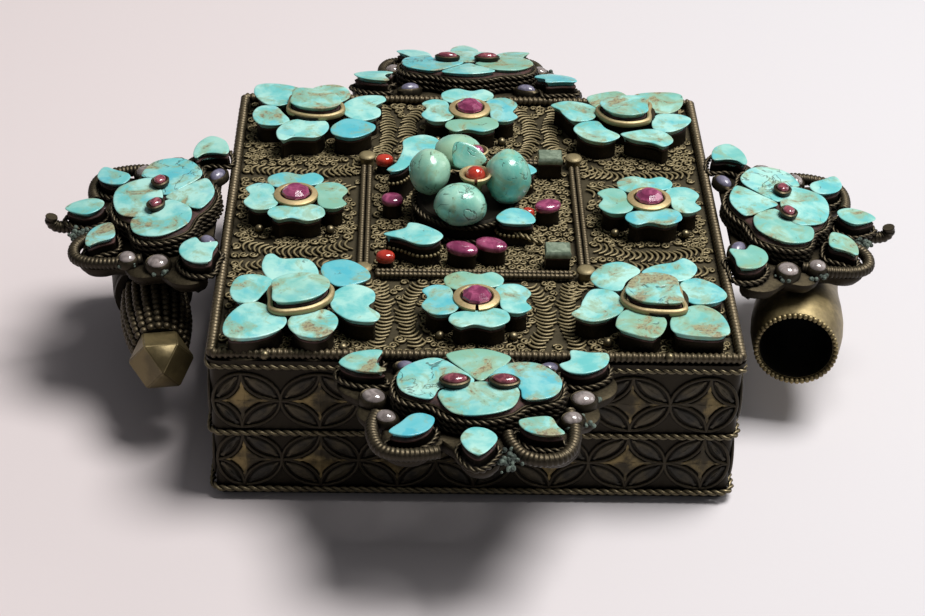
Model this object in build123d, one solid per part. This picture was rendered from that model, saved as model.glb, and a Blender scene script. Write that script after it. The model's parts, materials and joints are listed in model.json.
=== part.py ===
from build123d import *
from dataclasses import dataclass, replace
from itertools import product
from math import cos, exp, pi, radians, sin, sqrt, tan
import os

# A square amulet box: a tray, a cover that slips over the tray's lip, stone-set rosettes on the cover's deck,
# four stone-set wings on its rim, and two suspension tubes under the side wings, one stopped by a finial.
# The origin is the middle of the underside. +Z is up, +X runs from tube to tube, -Y is the side of the mouths.
# All lengths are in millimetres and all angles in degrees.

# Box
BOX_SIDE = 89.0  # cover wall, outside face to outside face
WALL = 1.0  # sheet of the tray, the cover and the deck
CORNER_R = 1.6  # upright corners of the cover
FOOT_R = 1.5  # rounding under the tray
PARTING_Z = 14.8  # the cover's edge rests on the tray's edge here
DECK_Z = 29.0  # upper face of the deck
SLIP_GAP = 0.3  # clearance between the tray's lip and the cover, on each side
LIP_WALL = 0.7  # sheet of the lip
LIP_RISE = 8.0  # lip above the parting line

# Wire work of the box
WIRE_SIDES = 8  # flats round a wire
ROPE_R = 0.65  # twisted wires round the walls
EAVE_DROP = 0.24  # highest twisted wire below the wings
FASCIA_PROUD = 0.5  # flat wire round the deck's edge, out from the wall
FASCIA_H = 1.2
RIM_ROD_R = 0.95  # coil-wrapped rods along the deck's edge
FILIGREE_H = 0.6
FILIGREE_GAP = 0.2  # between the filigree panel and the rim rods
FRAME_HALF = 19.5  # centre frame, from the middle to a rod's axis
FRAME_ROD_R = 1.0
STUD_R = 2.2  # studs at the corners of the centre frame
STUD_CROWN_R = 1.2
STUD_H = 2.4
STUD_GAP = 0.15  # between a stud and the end of a rod

# Filigree combs: stacks of crescent slots to each side of a side rosette
COMB_SLOTS = 4
COMB_PITCH = 2.5
COMB_HALF = 3.2  # half width of a slot
COMB_SAG = 2.4  # depth of a slot's outer arc
COMB_SLOT = 0.9  # widest part of a slot

# Stones
GIRDLE_SIDES = 12  # flats ground round a stone
COLLET_SIDES = 8  # flats bent round a collet
GEM_SIDES = 6  # flats ground round a small gem
COLLET_INSET = 0.4  # a stone overhangs its collet by this much
NOTCH_HALF = 1.6  # half width of the bite in a notched stone
COLLET_H = 2.8  # collets of the deck's rosettes
STONE_H = 1.6  # flat stones of the deck's rosettes
SEAM = 0.35  # mastic seam between stones of one dish
CROWN = 0.6  # a small stone's crown, as a share of its girdle

# Corner rosettes
BEZEL_H = 0.9  # gilt bezel on the petals' inner ends
BEZEL_LEDGE = 0.8  # bezel round its stone
CENTRE_STONE_H = 1.5

# Side rosettes
RING_WALL = 0.9  # gilt ring round the ruby, on the petals' inner ends
RING_H = 1.0
RING_SIDES = 12
RUBY_GAP = 0.15  # ruby inside its ring
RUBY_DOME = 1.0  # ruby above its ring

# Centre cluster
DRUM_H = 4.2
DRUM_SIDES = 20
DOME_SIDES = 12
DOME_RINGS = 5
CUP_R = 2.4  # cup of the coral in the middle of the domes
CUP_H = 1.4
CUP_RISE = 6.0  # cup above the drum
STEM_R = 1.5
CORAL_R = 1.7
CORAL_H = 1.6
BACK_CUP_R = 1.7  # cup of the ruby between the right and back domes
BACK_STEM_R = 0.7
BACK_CUP_RISE = 6.6
BACK_RUBY_R = 1.3
LEAF_COLLET_H = 3.4
LEAF_H = 1.4
JEWEL_COLLET_H = 2.2
JEWEL_H = 1.3
CHIP_LEAN = 55.0  # slope of the broken chip's face
CHIP_H = 8.2

# Wings
WING_RISE = 1.2  # top of a wing above the deck, at the box
WING_SLOPES = {"front": -1.0, "right": 6.0, "back": 13.0, "left": 6.0}  # bent down by hand
WING_TURNS = {"front": 0, "right": 90, "back": 180, "left": 270}
PAN_H = 3.0
BODY_V = 9.0  # straight foot of the pan, out from the box
NECK_W = 11.0  # plate between the dish and the tip
LOBE_SIDES = 16
DISH_V = 10.2  # dish's middle, out from the box
DISH_W = 28.0
DISH_D = 19.8
DISH_H = 3.2
DISH_BORDER = 0.3  # bare edge of the dish round its stones
DISH_SIDES = 20
WING_STONE_H = 1.3
WING_COLLET_H = 2.0
RUBY_CUP_R = 2.1
RUBY_CUP_H = 0.8
WING_RUBY_R = 1.6
WING_RUBY_H = 1.0
PEARL_H = 2.0
CRYSTAL_H = 2.0
SPUR_OUT = 32.3  # tip of the spur on the left and right wings
SPUR_R = 1.5
SPUR_H = 3.4

# Suspension tubes
TUBE_SPLAY = 9.3  # each tube's far end leans out
TUBE_R = 7.2
BORE_R = 6.5
BELL_R = 8.3  # swelling behind the open mouth
BELL_L = 15.0
MOUTH_R = 7.6
RIGHT_TUBE_L = 38.0
LEFT_TUBE_L = 24.5
FAR_Y = 18.6  # far ends of both tubes
RIGHT_FAR_X = 19.2  # far end of the axis, out from the fascia
LEFT_FAR_X = 17.0
TUBE_GAP = 0.3  # between the bell and the wing's underside
END_RING_R = 8.3  # beaded wires on the ends of the tubes
END_RING_STEP = 0.2  # end ring's hole, wider than the bore
END_RING_H = 1.4
END_RING_SIDES = 16
SADDLE_AT = (7.0, 18.0)  # from the far end
SADDLE_L = 5.0
SADDLE_W = 8.0

# Finial of the left tube
FINIAL_GAP = 0.15  # shank in the bore
SHANK_L = 10.0
COLLAR_R = 7.0
COLLAR_H = 1.0
BUD_L = 17.4
BUD_R = 5.9
BUD_NECK_R = 5.2
BUD_END_R = 4.8
KNOB_HALF = 5.8  # from the knob's middle to a corner
KNOB_SEAT = 3.4  # from the knob's middle back to its seat
KNOB_PITCH = 10.0  # front corner above the axis

# Places that follow from the sizes above
EDGE = BOX_SIDE / 2 + FASCIA_PROUD
BAY = BOX_SIDE / 2 - FRAME_HALF  # deck between the wall and the centre frame, which the rosettes fill
CORNER_X = BOX_SIDE / 2 - 0.56 * BAY
CORNER_Y = BOX_SIDE / 2 - 0.528 * BAY
CORNER_POST_R = 0.172 * BAY
BEZEL_W = 0.48 * BAY
BEZEL_D = 0.448 * BAY
BEZEL_FLAT = 0.156 * BAY  # straight side of the front stones, from the middle
SIDE_X = BOX_SIDE / 2 - 0.5 * BAY
SIDE_Y = BOX_SIDE / 2 - 0.46 * BAY
RING_R = 0.156 * BAY
COMB_SIDE = 0.584 * BAY  # comb's middle, to the side of the rosette's middle
PANEL_SIDE = 2 * (EDGE - 2 * RIM_ROD_R - FILIGREE_GAP)
PANEL_Z = DECK_Z + FILIGREE_H
PETAL_Z = PANEL_Z + COLLET_H
PETAL_TOP = PETAL_Z + STONE_H
DRUM_TOP = PANEL_Z + DRUM_H
CUP_Z = DRUM_TOP + CUP_RISE
BACK_CUP_Z = DRUM_TOP + BACK_CUP_RISE
WING_Z = DECK_Z + WING_RISE
TRAY_SIDE = BOX_SIDE - 2 * SLIP_GAP
UP = (Align.CENTER, Align.CENTER, Align.MIN)


@dataclass(frozen=True)
class Stone:
    """A flat stone: the place of its middle, the way its outer end points, and its girdle."""

    x: float
    y: float
    turn: float
    width: float
    depth: float
    taper: float = 0.0  # share of the width that is lost at the outer end
    notch: float = 0.0  # depth of the bite in the outer end
    bend: float = 0.0  # the outer end leans sideways by this much
    knob: float = 0.0  # radius of a small lobe beside the outer end


@dataclass(frozen=True)
class Dome:
    """A tumbled nugget of the centre cluster."""

    x: float
    y: float
    radius_x: float
    radius_y: float
    height: float


def sized(stone, unit):
    """A stone whose layout is in shares of the room that it is cut for."""
    return replace(
        stone,
        x=unit * stone.x,
        y=unit * stone.y,
        width=unit * stone.width,
        depth=unit * stone.depth,
        notch=unit * stone.notch,
        bend=unit * stone.bend,
        knob=unit * stone.knob,
    )


def petal(angle, reach, width, depth, **shape):
    """A stone of a rosette, in shares of the bay, whose outer end points away from the rosette's middle."""
    x, y = reach * cos(radians(angle)), reach * sin(radians(angle))
    return sized(Stone(x, y, angle, width, depth, **shape), BAY)


def inner(x, y, turn, width, depth, **shape):
    """A stone inside the centre frame, in shares of the frame's half."""
    return sized(Stone(x, y, turn, width, depth, **shape), FRAME_HALF)


def outer(x, y, turn, width, depth, **shape):
    """A stone of a wing, in shares of the dish's width. x runs along the box and -y outwards."""
    return sized(Stone(x, y, turn, width, depth, **shape), DISH_W)


def dome(x, y, radius_x, radius_y, height):
    """A nugget, its height as a length and the rest in shares of the centre frame's half."""
    return Dome(FRAME_HALF * x, FRAME_HALF * y, FRAME_HALF * radius_x, FRAME_HALF * radius_y, height)


# Petals of the front left rosette. The other three mirror it.
CORNER_PETALS = (
    petal(45, 0.368, 0.368, 0.32),
    petal(105, 0.36, 0.328, 0.312, knob=0.08),
    petal(165, 0.356, 0.32, 0.32),
    petal(225, 0.392, 0.392, 0.384),
    petal(285, 0.368, 0.352, 0.344),
    petal(345, 0.38, 0.376, 0.352, notch=0.096),
)
SIDE_PETALS = tuple(petal(turn, 0.256, 0.344, 0.256, notch=0.068, taper=-0.3) for turn in (0, 90, 180, 270))

# Centre cluster, from the middle of the deck
DRUM_X = -0.0667 * FRAME_HALF
DRUM_Y = 0.0154 * FRAME_HALF
DRUM_R = 0.4615 * FRAME_HALF
CUP_X = 0.0154 * FRAME_HALF
CUP_Y = -0.0513 * FRAME_HALF
BACK_CUP_X = 0.1385 * FRAME_HALF
BACK_CUP_Y = 0.3231 * FRAME_HALF
DOMES = (
    dome(-0.1128, -0.4205, 0.241, 0.2256, 8.0),
    dome(0.3487, 0.0205, 0.2308, 0.2462, 8.6),
    dome(-0.4205, 0.0513, 0.2103, 0.2359, 8.4),
    dome(-0.1026, 0.4615, 0.2308, 0.2154, 7.8),
)
CHIP = inner(-0.0462, 0.1538, 90, 0.2667, 0.1333)
LEAVES = (
    inner(-0.5436, -0.6769, 170, 0.3282, 0.5436, taper=0.55, bend=0.041),
    inner(0.441, -0.4103, 10, 0.2974, 0.3795, taper=0.25),
    inner(-0.5949, 0.6564, 215, 0.3897, 0.5333, taper=0.4, notch=0.0821),
    inner(0.5538, 0.6462, 330, 0.3077, 0.4615, taper=0.5),
)
RUBIES = (
    inner(-0.7487, 0.041, 90, 0.1846, 0.1641),
    inner(-0.1128, -0.8, 160, 0.1641, 0.2667),
    inner(0.1538, -0.7282, 160, 0.1641, 0.2667),
    inner(0.6974, -0.041, 20, 0.1641, 0.2256),
)
CORALS = (
    inner(-0.8, -0.8821, 90, 0.1846, 0.1538),
    inner(-0.8308, 0.841, 90, 0.1846, 0.1538),
    inner(0.5128, -0.1026, 90, 0.1333, 0.1128),
)
EMERALDS = (inner(0.7487, -0.841, 90, 0.2359, 0.1949), inner(0.759, 0.8308, 90, 0.2359, 0.1949))

# Stones of a wing
WING_FRONT = outer(0, -0.5393, 270, 0.4929, 0.3357)
WING_BACK = outer(0, -0.1643, 90, 0.3429, 0.2929, taper=-0.3)
WING_SIDE = outer(0.2821, -0.3286, 0, 0.4, 0.4071)
WING_TIP = outer(0, -0.9, 270, 0.2429, 0.2429, taper=0.25)
WING_COMMA = outer(0.6643, -0.1429, 180, 0.2286, 0.3143, notch=0.0786)
WING_LEAF = outer(0.4, -0.7643, 335, 0.2, 0.3143, taper=0.5, bend=-0.0214)
WING_PEARL = outer(0.4143, -0.0714, 90, 0.1214, 0.1071)
WING_CRYSTALS = (outer(0.6071, -0.3714, 0, 0.15, 0.1357), outer(0.5321, -0.5714, 315, 0.1143, 0.1143))
WING_LOBES = (
    outer(0.6571, -0.1643, 0, 0.4429, 0),
    outer(0.5714, -0.45, 0, 0.3714, 0),
    outer(0.4071, -0.7464, 0, 0.4357, 0),
)
TIP_LOBE = outer(0, -0.8929, 270, 0.3429, 0)
RUBY_CUP = outer(0.1429, -0.4071, 0, 0, 0)  # ruby cups, to each side of the wing's middle


def both(stone):
    """A stone and its mirror image on the other side of the wing's middle."""
    return (stone, replace(stone, x=-stone.x, turn=180 - stone.turn, bend=-stone.bend))


def girdle(stone, inset=0.0, sides=GIRDLE_SIDES):
    """The outline of a stone, or of a collet inside it, ground as flats round an oval."""
    points = []
    for step in range(sides):
        angle = 2 * pi * step / sides
        outward = sin(angle)
        x = (stone.width / 2 - inset) * cos(angle) * (1 - stone.taper * (1 + outward) / 2)
        y = (stone.depth / 2 - inset) * outward
        if outward > 0:
            y -= stone.notch * exp(-((x / NOTCH_HALF) ** 2))
            x += stone.bend * outward**2
        points.append((x, y))
    outline = Polygon(*points)
    if stone.knob:
        outline += Pos(-0.42 * stone.width, 0.3 * stone.depth) * RegularPolygon(stone.knob - inset, COLLET_SIDES)
    return Pos(stone.x, stone.y) * Rot(0, 0, stone.turn - 90) * outline


def slab(outline, low, height):
    """An outline raised to a flat piece that stands on a level."""
    return Pos(0, 0, low) * extrude(outline, amount=height, dir=(0, 0, 1))


def stones(layout, low, height, sides=GIRDLE_SIDES):
    """Flat stones on one level."""
    return [slab(girdle(stone, 0.0, sides), low, height) for stone in layout]


def collets(layout, low, height):
    """Collets under flat stones, each a little smaller than its stone."""
    return [slab(girdle(stone, COLLET_INSET, COLLET_SIDES), low, height) for stone in layout]


def polyhedron(faces):
    """A solid with flat faces, each a list of corners."""
    return Solid(Shell([Face(Wire.make_polygon(corners)) for corners in faces]))


def ring(x, y, z, radius_x, radius_y, sides):
    """Corners round an oval on a level."""
    turns = [2 * pi * step / sides for step in range(sides)]
    return [(x + radius_x * cos(turn), y + radius_y * sin(turn), z) for turn in turns]


def walls(rings):
    """Flat walls from each ring of corners to the next."""
    faces = []
    for below, above in zip(rings, rings[1:]):
        for i in range(len(below)):
            j = (i + 1) % len(below)
            faces.append([below[i], below[j], above[j], above[i]])
    return faces


def through(rings):
    """A solid whose flat walls pass through rings of corners."""
    return polyhedron(walls(rings) + [rings[0], rings[-1]])


def nugget(stone, low):
    """A domed stone that stands on a level, widest at about half its height."""
    first, last = radians(-43), radians(52)
    rings = []
    for step in range(DOME_RINGS):
        lift = first + (last - first) * step / (DOME_RINGS - 1)
        z = low + stone.height * (sin(lift) - sin(first)) / (sin(last) - sin(first))
        share = cos(lift)
        rings.append(ring(stone.x, stone.y, z, stone.radius_x * share, stone.radius_y * share, DOME_SIDES))
    return through(rings)


def cabochon(x, y, low, radius, height):
    """A small round stone with a bevelled crown."""
    foot = ring(x, y, low, radius, radius, COLLET_SIDES)
    crown = ring(x, y, low + height, CROWN * radius, CROWN * radius, COLLET_SIDES)
    return through([foot, crown])


def cup_on_stem(x, y, stem, cup, cup_z):
    """A small cup on a stem that stands on the drum."""
    levels = ((DRUM_TOP, stem), (cup_z, stem), (cup_z + CUP_H, cup))
    return through([ring(x, y, z, radius, radius, COLLET_SIDES) for z, radius in levels])


def square_corners(half, cut, z):
    """The corners of a square whose own corners are cut off."""
    if cut == 0:
        return [(half, -half, z), (half, half, z), (-half, half, z), (-half, -half, z)]
    near = half - cut
    quarter = [(half, near), (near, half)]
    corners = quarter + [(-y, x) for x, y in quarter] + [(-x, -y) for x, y in quarter]
    return [(x, y, z) for x, y in corners + [(y, -x) for x, y in quarter]]


def square_wire(half, cut, z, radius):
    """A wire bent round a square, with mitred corners. half and cut are those of its axis."""
    rings = []
    for step in range(WIRE_SIDES + 1):
        angle = 2 * pi * (step % WIRE_SIDES) / WIRE_SIDES
        out = radius * cos(angle)
        wider = cut + out * (2 - sqrt(2)) if cut else 0
        rings.append(square_corners(half + out, wider, z + radius * sin(angle)))
    return polyhedron(walls(rings))


def rope(side, corner, z):
    """A twisted wire that lies against a square wall and bends round its corners."""
    return square_wire(side / 2 + ROPE_R, (corner + ROPE_R) * (2 - sqrt(2)), z, ROPE_R)


def tray():
    """The lower half: a pan, the lip inside it, and the wires round its edge and its foot."""
    corner = CORNER_R - SLIP_GAP
    inside = Rectangle(TRAY_SIDE - 2 * WALL, TRAY_SIDE - 2 * WALL)
    hollow = Rectangle(TRAY_SIDE - 2 * WALL - 2 * LIP_WALL, TRAY_SIDE - 2 * WALL - 2 * LIP_WALL)
    pan = extrude(RectangleRounded(TRAY_SIDE, TRAY_SIDE, corner), amount=PARTING_Z)
    pan = fillet(pan.faces().sort_by(Axis.Z)[0].edges(), FOOT_R)
    pan -= slab(inside, WALL, PARTING_Z)
    lip = slab(inside - hollow, WALL, PARTING_Z - WALL + LIP_RISE)
    return {
        "tray_pan": [pan],
        "tray_lip": [lip],
        "tray_rim_rope": [rope(TRAY_SIDE, corner, PARTING_Z - ROPE_R)],
        "tray_foot_rope": [rope(TRAY_SIDE, corner, FOOT_R + ROPE_R)],
    }


def wing_under(slope):
    """The height of a wing's underside at the box."""
    return WING_Z - PAN_H / cos(radians(slope))


def cover():
    """The upper half: shell and deck, the wire round it, the rods along its edge."""
    height = DECK_Z - PARTING_Z
    wall = RectangleRounded(BOX_SIDE, BOX_SIDE, CORNER_R)
    shell = slab(wall, PARTING_Z, height)
    shell -= slab(Rectangle(BOX_SIDE - 2 * WALL, BOX_SIDE - 2 * WALL), PARTING_Z, height - WALL)
    outline = RectangleRounded(2 * EDGE, 2 * EDGE, CORNER_R + FASCIA_PROUD) - wall
    eave = min(wing_under(slope) for slope in WING_SLOPES.values()) - EAVE_DROP - ROPE_R
    return {
        "cover_shell": [shell],
        "cover_eave_rope": [rope(BOX_SIDE, CORNER_R, eave)],
        "cover_fascia": [slab(outline, DECK_Z - FASCIA_H, FASCIA_H)],
        "rim_rods": [square_wire(EDGE - RIM_ROD_R, 0, DECK_Z + RIM_ROD_R, RIM_ROD_R)],
    }


def crescent():
    """One slot of a filigree comb, open towards +Y."""
    low = [(COMB_HALF * s, -COMB_SAG * (1 - s * s)) for s in (-1.0, -0.4, 0.4, 1.0)]
    high = [(COMB_HALF * s, (COMB_SLOT - COMB_SAG) * (1 - s * s)) for s in (0.4, -0.4)]
    return Polygon(*low, *high)


def filigree():
    """The pierced panel on the deck, with a comb of crescents to each side of each side rosette."""
    panel = Rectangle(PANEL_SIDE, PANEL_SIDE)
    slot = crescent()
    for turn, hand, step in product((0, 90, 180, 270), (-1, 1), range(COMB_SLOTS)):
        out = SIDE_Y if turn in (0, 180) else SIDE_X
        y = COMB_PITCH * (step - (COMB_SLOTS - 1) / 2) - out
        panel -= Rot(0, 0, turn) * Pos(hand * COMB_SIDE, y) * slot
    return {"filigree_panel": [slab(panel, DECK_Z, FILIGREE_H)]}


def centre_frame():
    """Coil-wrapped rods round the centre, and the studs at their corners."""
    length = 2 * (FRAME_HALF - STUD_R - STUD_GAP)
    rod = Pos(-length / 2, 0, 0) * Rot(0, 90, 0) * extrude(RegularPolygon(FRAME_ROD_R, WIRE_SIDES), amount=length)
    levels = ((PANEL_Z, STUD_R), (PANEL_Z + STUD_H / 2, STUD_R), (PANEL_Z + STUD_H, STUD_CROWN_R))
    stud = through([ring(FRAME_HALF, FRAME_HALF, z, radius, radius, COLLET_SIDES) for z, radius in levels])
    quarters = [Rot(0, 0, turn) for turn in (0, 90, 180, 270)]
    return {
        "centre_frame_rods": [turn * Pos(0, FRAME_HALF, PANEL_Z + FRAME_ROD_R) * rod for turn in quarters],
        "centre_frame_studs": [turn * stud for turn in quarters],
    }


def corner_rosettes():
    """Four rosettes of six petals. The front ones have a centre stone with one straight side."""
    nodes = {"corner_settings": [], "corner_petals": [], "corner_bezels": [], "corner_stones": []}
    place = Pos(-CORNER_X, -CORNER_Y)
    panel = Pos(0, 0, PANEL_Z) * Box(PANEL_SIDE, PANEL_SIDE, 2 * DECK_Z)
    post = slab(RegularPolygon(CORNER_POST_R, COLLET_SIDES), PANEL_Z, COLLET_H + STONE_H)
    settings = [place * piece & panel for piece in collets(CORNER_PETALS, PANEL_Z, COLLET_H)] + [place * post]
    petals = [place * piece for piece in stones(CORNER_PETALS, PETAL_Z, STONE_H)]
    oval = Stone(0, 0, 90, BEZEL_W, BEZEL_D)
    for back, right in product((False, True), (False, True)):
        bezel, centre = girdle(oval), girdle(oval, BEZEL_LEDGE)
        if not back:
            keep = Pos(BEZEL_W - BEZEL_FLAT, 0) * Rectangle(2 * BEZEL_W, 2 * BEZEL_D)
            bezel = bezel & Pos(-BEZEL_LEDGE, 0) * keep
            centre = centre & keep
        flower = {
            "corner_settings": settings,
            "corner_petals": petals,
            "corner_bezels": [place * slab(bezel, PETAL_TOP, BEZEL_H)],
            "corner_stones": [place * slab(centre, PETAL_TOP + BEZEL_H, CENTRE_STONE_H)],
        }
        for name, pieces in flower.items():
            for piece in pieces:
                piece = mirror(piece, about=Plane.YZ) if right else piece
                nodes[name].append(mirror(piece, about=Plane.XZ) if back else piece)
    return nodes


def side_rosettes():
    """Four rosettes of four notched petals round a ruby in a gilt ring. The front ring is split."""
    places = {
        "left": Pos(-SIDE_X, 0),
        "right": Pos(SIDE_X, 0),
        "front": Pos(0, -SIDE_Y),
        "back": Pos(0, SIDE_Y),
    }
    hole = RING_R - RING_WALL
    post = slab(RegularPolygon(hole - RUBY_GAP, COLLET_SIDES), PANEL_Z, COLLET_H + STONE_H)
    gilt = RegularPolygon(RING_R, RING_SIDES) - RegularPolygon(hole, RING_SIDES)
    split = Pos(0, -RING_R) * Rectangle(RING_WALL, RING_R)
    ruby = cabochon(0, 0, PETAL_TOP, hole - 2 * RUBY_GAP, RING_H + RUBY_DOME)
    settings = collets(SIDE_PETALS, PANEL_Z, COLLET_H) + [post]
    petals = stones(SIDE_PETALS, PETAL_Z, STONE_H)
    nodes = {"side_settings": [], "side_petals": [], "side_rings": [], "side_rubies": []}
    for name, place in places.items():
        outline = gilt - split if name == "front" else gilt
        nodes["side_settings"] += [place * piece for piece in settings]
        nodes["side_petals"] += [place * piece for piece in petals]
        nodes["side_rings"].append(place * slab(outline, PETAL_TOP, RING_H))
        nodes["side_rubies"].append(place * ruby)
    return nodes


def centre_cluster():
    """Four domes on a drum round a coral in a cup, with leaf stones and small jewels about them."""
    drum = slab(Pos(DRUM_X, DRUM_Y) * RegularPolygon(DRUM_R, DRUM_SIDES), PANEL_Z, DRUM_H)
    chip = slab(girdle(CHIP), DRUM_TOP, CHIP_H)
    face = Pos(CHIP.x, CHIP.y + CHIP.depth / 2, DRUM_TOP + CHIP_H) * Rot(CHIP_LEAN, 0, 0)
    chip -= face * Box(4 * CHIP_H, 4 * CHIP_H, 4 * CHIP_H, align=UP)
    leaf_z = PANEL_Z + LEAF_COLLET_H
    jewel_z = PANEL_Z + JEWEL_COLLET_H
    squares = [Pos(stone.x, stone.y) * Rectangle(stone.width, stone.depth) for stone in EMERALDS]
    seats = [
        Pos(stone.x, stone.y) * Rectangle(stone.width - 2 * COLLET_INSET, stone.depth - 2 * COLLET_INSET)
        for stone in EMERALDS
    ]
    jewel_seats = collets(RUBIES + CORALS, PANEL_Z, JEWEL_COLLET_H)
    jewel_seats += [slab(seat, PANEL_Z, JEWEL_COLLET_H) for seat in seats]
    back_ruby = cabochon(BACK_CUP_X, BACK_CUP_Y, BACK_CUP_Z + CUP_H, BACK_RUBY_R, JEWEL_H)
    return {
        "centre_drum": [drum],
        "centre_domes": [nugget(stone, DRUM_TOP) for stone in DOMES],
        "centre_chip": [chip],
        "centre_cups": [
            cup_on_stem(CUP_X, CUP_Y, STEM_R, CUP_R, CUP_Z),
            cup_on_stem(BACK_CUP_X, BACK_CUP_Y, BACK_STEM_R, BACK_CUP_R, BACK_CUP_Z),
        ],
        "cup_coral": [cabochon(CUP_X, CUP_Y, CUP_Z + CUP_H, CORAL_R, CORAL_H)],
        "centre_leaf_collets": collets(LEAVES, PANEL_Z, LEAF_COLLET_H),
        "centre_leaf_stones": stones(LEAVES, leaf_z, LEAF_H),
        "centre_jewel_collets": jewel_seats,
        "centre_rubies": stones(RUBIES, jewel_z, JEWEL_H, COLLET_SIDES) + [back_ruby],
        "centre_corals": stones(CORALS, jewel_z, JEWEL_H, COLLET_SIDES),
        "centre_emeralds": [slab(square, jewel_z, JEWEL_H) for square in squares],
    }


def on_wing(side, piece):
    """A piece from a wing's own frame to its place on the box."""
    return Rot(0, 0, WING_TURNS[side]) * Pos(0, -EDGE, WING_Z) * Rot(WING_SLOPES[side], 0, 0) * piece


def wing_pan(side):
    """The palmette plate of a wing, cut off against the fascia. The side wings end in a spur."""
    outline = Pos(0, -BODY_V / 2) * Rectangle(2 * WING_LOBES[0].x, BODY_V + 2 * PAN_H)
    outline += girdle(Stone(0, -DISH_V, 90, DISH_W, DISH_D), -DISH_BORDER, DISH_SIDES)
    for hand, lobe in product((-1, 1), WING_LOBES):
        outline += Pos(hand * lobe.x, lobe.y) * RegularPolygon(lobe.width / 2, LOBE_SIDES)
    y = TIP_LOBE.y
    outline += Pos(0, y) * RegularPolygon(TIP_LOBE.width / 2, LOBE_SIDES)
    outline += Pos(0, (y - DISH_V) / 2) * Rectangle(NECK_W, -y - DISH_V)
    pan = slab(outline, -PAN_H, PAN_H)
    if side in ("left", "right"):
        stem = SPUR_OUT - SPUR_R + y
        pan += Pos(0, y - stem / 2, -PAN_H / 2) * Box(SPUR_R, stem, PAN_H)
        pan += slab(Pos(0, SPUR_R - SPUR_OUT) * RegularPolygon(SPUR_R, COLLET_SIDES), -PAN_H, SPUR_H)
    reach = 2 * EDGE
    return on_wing(side, pan) - Box(reach, reach, 4 * WING_Z)


def wing(side):
    """A wing's pan, its settings and its stones."""
    dish = Stone(0, -DISH_V, 90, DISH_W, DISH_D)
    bounds = girdle(dish, DISH_BORDER, DISH_SIDES)
    front = girdle(WING_FRONT)
    clear_front = girdle(WING_FRONT, -SEAM)
    sides = [girdle(stone) - clear_front for stone in both(WING_SIDE)]
    back = girdle(WING_BACK) - clear_front
    for stone in both(WING_SIDE):
        back -= girdle(stone, -SEAM)
    leaves = (*both(WING_COMMA), *both(WING_LEAF), WING_TIP)
    crystals = [stone for crystal in WING_CRYSTALS for stone in both(crystal)]
    cup_z = DISH_H + WING_STONE_H
    cup = slab(RegularPolygon(RUBY_CUP_R, COLLET_SIDES), cup_z, RUBY_CUP_H)
    ruby = cabochon(0, 0, cup_z + RUBY_CUP_H, WING_RUBY_R, WING_RUBY_H)
    pair = [Pos(hand * RUBY_CUP.x, RUBY_CUP.y) for hand in (-1, 1)]
    nodes = {
        f"{side}_wing_settings": [slab(girdle(dish, 0.0, DISH_SIDES), 0.0, DISH_H)]
        + collets(leaves, 0.0, WING_COLLET_H),
        f"{side}_wing_petals": [slab(outline & bounds, DISH_H, WING_STONE_H) for outline in (front, *sides, back)],
        f"{side}_wing_turquoises": stones(leaves, WING_COLLET_H, WING_STONE_H),
        "wing_pearls": stones(both(WING_PEARL), 0.0, PEARL_H, GEM_SIDES),
        "wing_crystals": stones(crystals, 0.0, CRYSTAL_H, GEM_SIDES),
        "wing_ruby_cups": [place * cup for place in pair],
        "wing_rubies": [place * ruby for place in pair],
    }
    placed = {name: [on_wing(side, piece) for piece in pieces] for name, pieces in nodes.items()}
    placed[f"{side}_wing_pan"] = [wing_pan(side)]
    return placed


def tube_frame(hand):
    """A tube's frame: origin at its far end, Z along its axis to the near end, X up. hand is 1 on the right."""
    slope = WING_SLOPES["right"]
    low = wing_under(slope) - RIGHT_FAR_X * tan(radians(slope))
    z = low - (BELL_R + TUBE_GAP) / cos(radians(slope))
    out = EDGE + (RIGHT_FAR_X if hand > 0 else LEFT_FAR_X)
    near = (-hand * sin(radians(TUBE_SPLAY)), -cos(radians(TUBE_SPLAY)), 0)
    return Plane(origin=(hand * out, FAR_Y, z), x_dir=(0, 0, 1), z_dir=near)


def lathe(profile):
    """A solid turned about Z from a list of (radius, height) corners."""
    return revolve(Plane.XZ * Polygon(*profile), axis=Axis.Z)


def end_ring(z):
    """The core of a beaded wire on a tube's end."""
    hole = RegularPolygon(BORE_R + END_RING_STEP, END_RING_SIDES, major_radius=False)
    return slab(RegularPolygon(END_RING_R, END_RING_SIDES) - hole, z, END_RING_H)


def saddles(frame, side):
    """Blocks between a tube and the underside of its wing."""
    above = on_wing(side, Pos(0, 0, -PAN_H) * Box(4 * EDGE, 4 * EDGE, 4 * PAN_H, align=UP))
    blocks = []
    for at in SADDLE_AT:
        block = Pos(TUBE_R, 0, at) * Box(2 * TUBE_R, SADDLE_W, SADDLE_L)
        block -= Cylinder(TUBE_R, 4 * RIGHT_TUBE_L)
        blocks.append(frame * block - above)
    return blocks


def tubes():
    """The suspension tubes: the right one with its open, beaded mouth, the left one plain for the finial."""
    right, left = tube_frame(1), tube_frame(-1)
    mouth = RIGHT_TUBE_L
    bell = lathe(
        [
            (BORE_R, 0),
            (TUBE_R, 0),
            (TUBE_R, mouth - BELL_L),
            (BELL_R, mouth - BELL_L / 2),
            (BELL_R, mouth - BELL_L / 4),
            (MOUTH_R, mouth),
            (BORE_R, mouth),
        ]
    )
    plain = lathe([(BORE_R, 0), (TUBE_R, 0), (TUBE_R, LEFT_TUBE_L), (BORE_R, LEFT_TUBE_L)])
    return {
        "right_tube": [right * bell],
        "left_tube": [left * plain],
        "right_tube_rings": [right * end_ring(mouth), right * end_ring(-END_RING_H)],
        "left_tube_ring": [left * end_ring(-END_RING_H)],
        "right_tube_saddles": saddles(right, "right"),
        "left_tube_saddles": saddles(left, "left"),
    }


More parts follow.
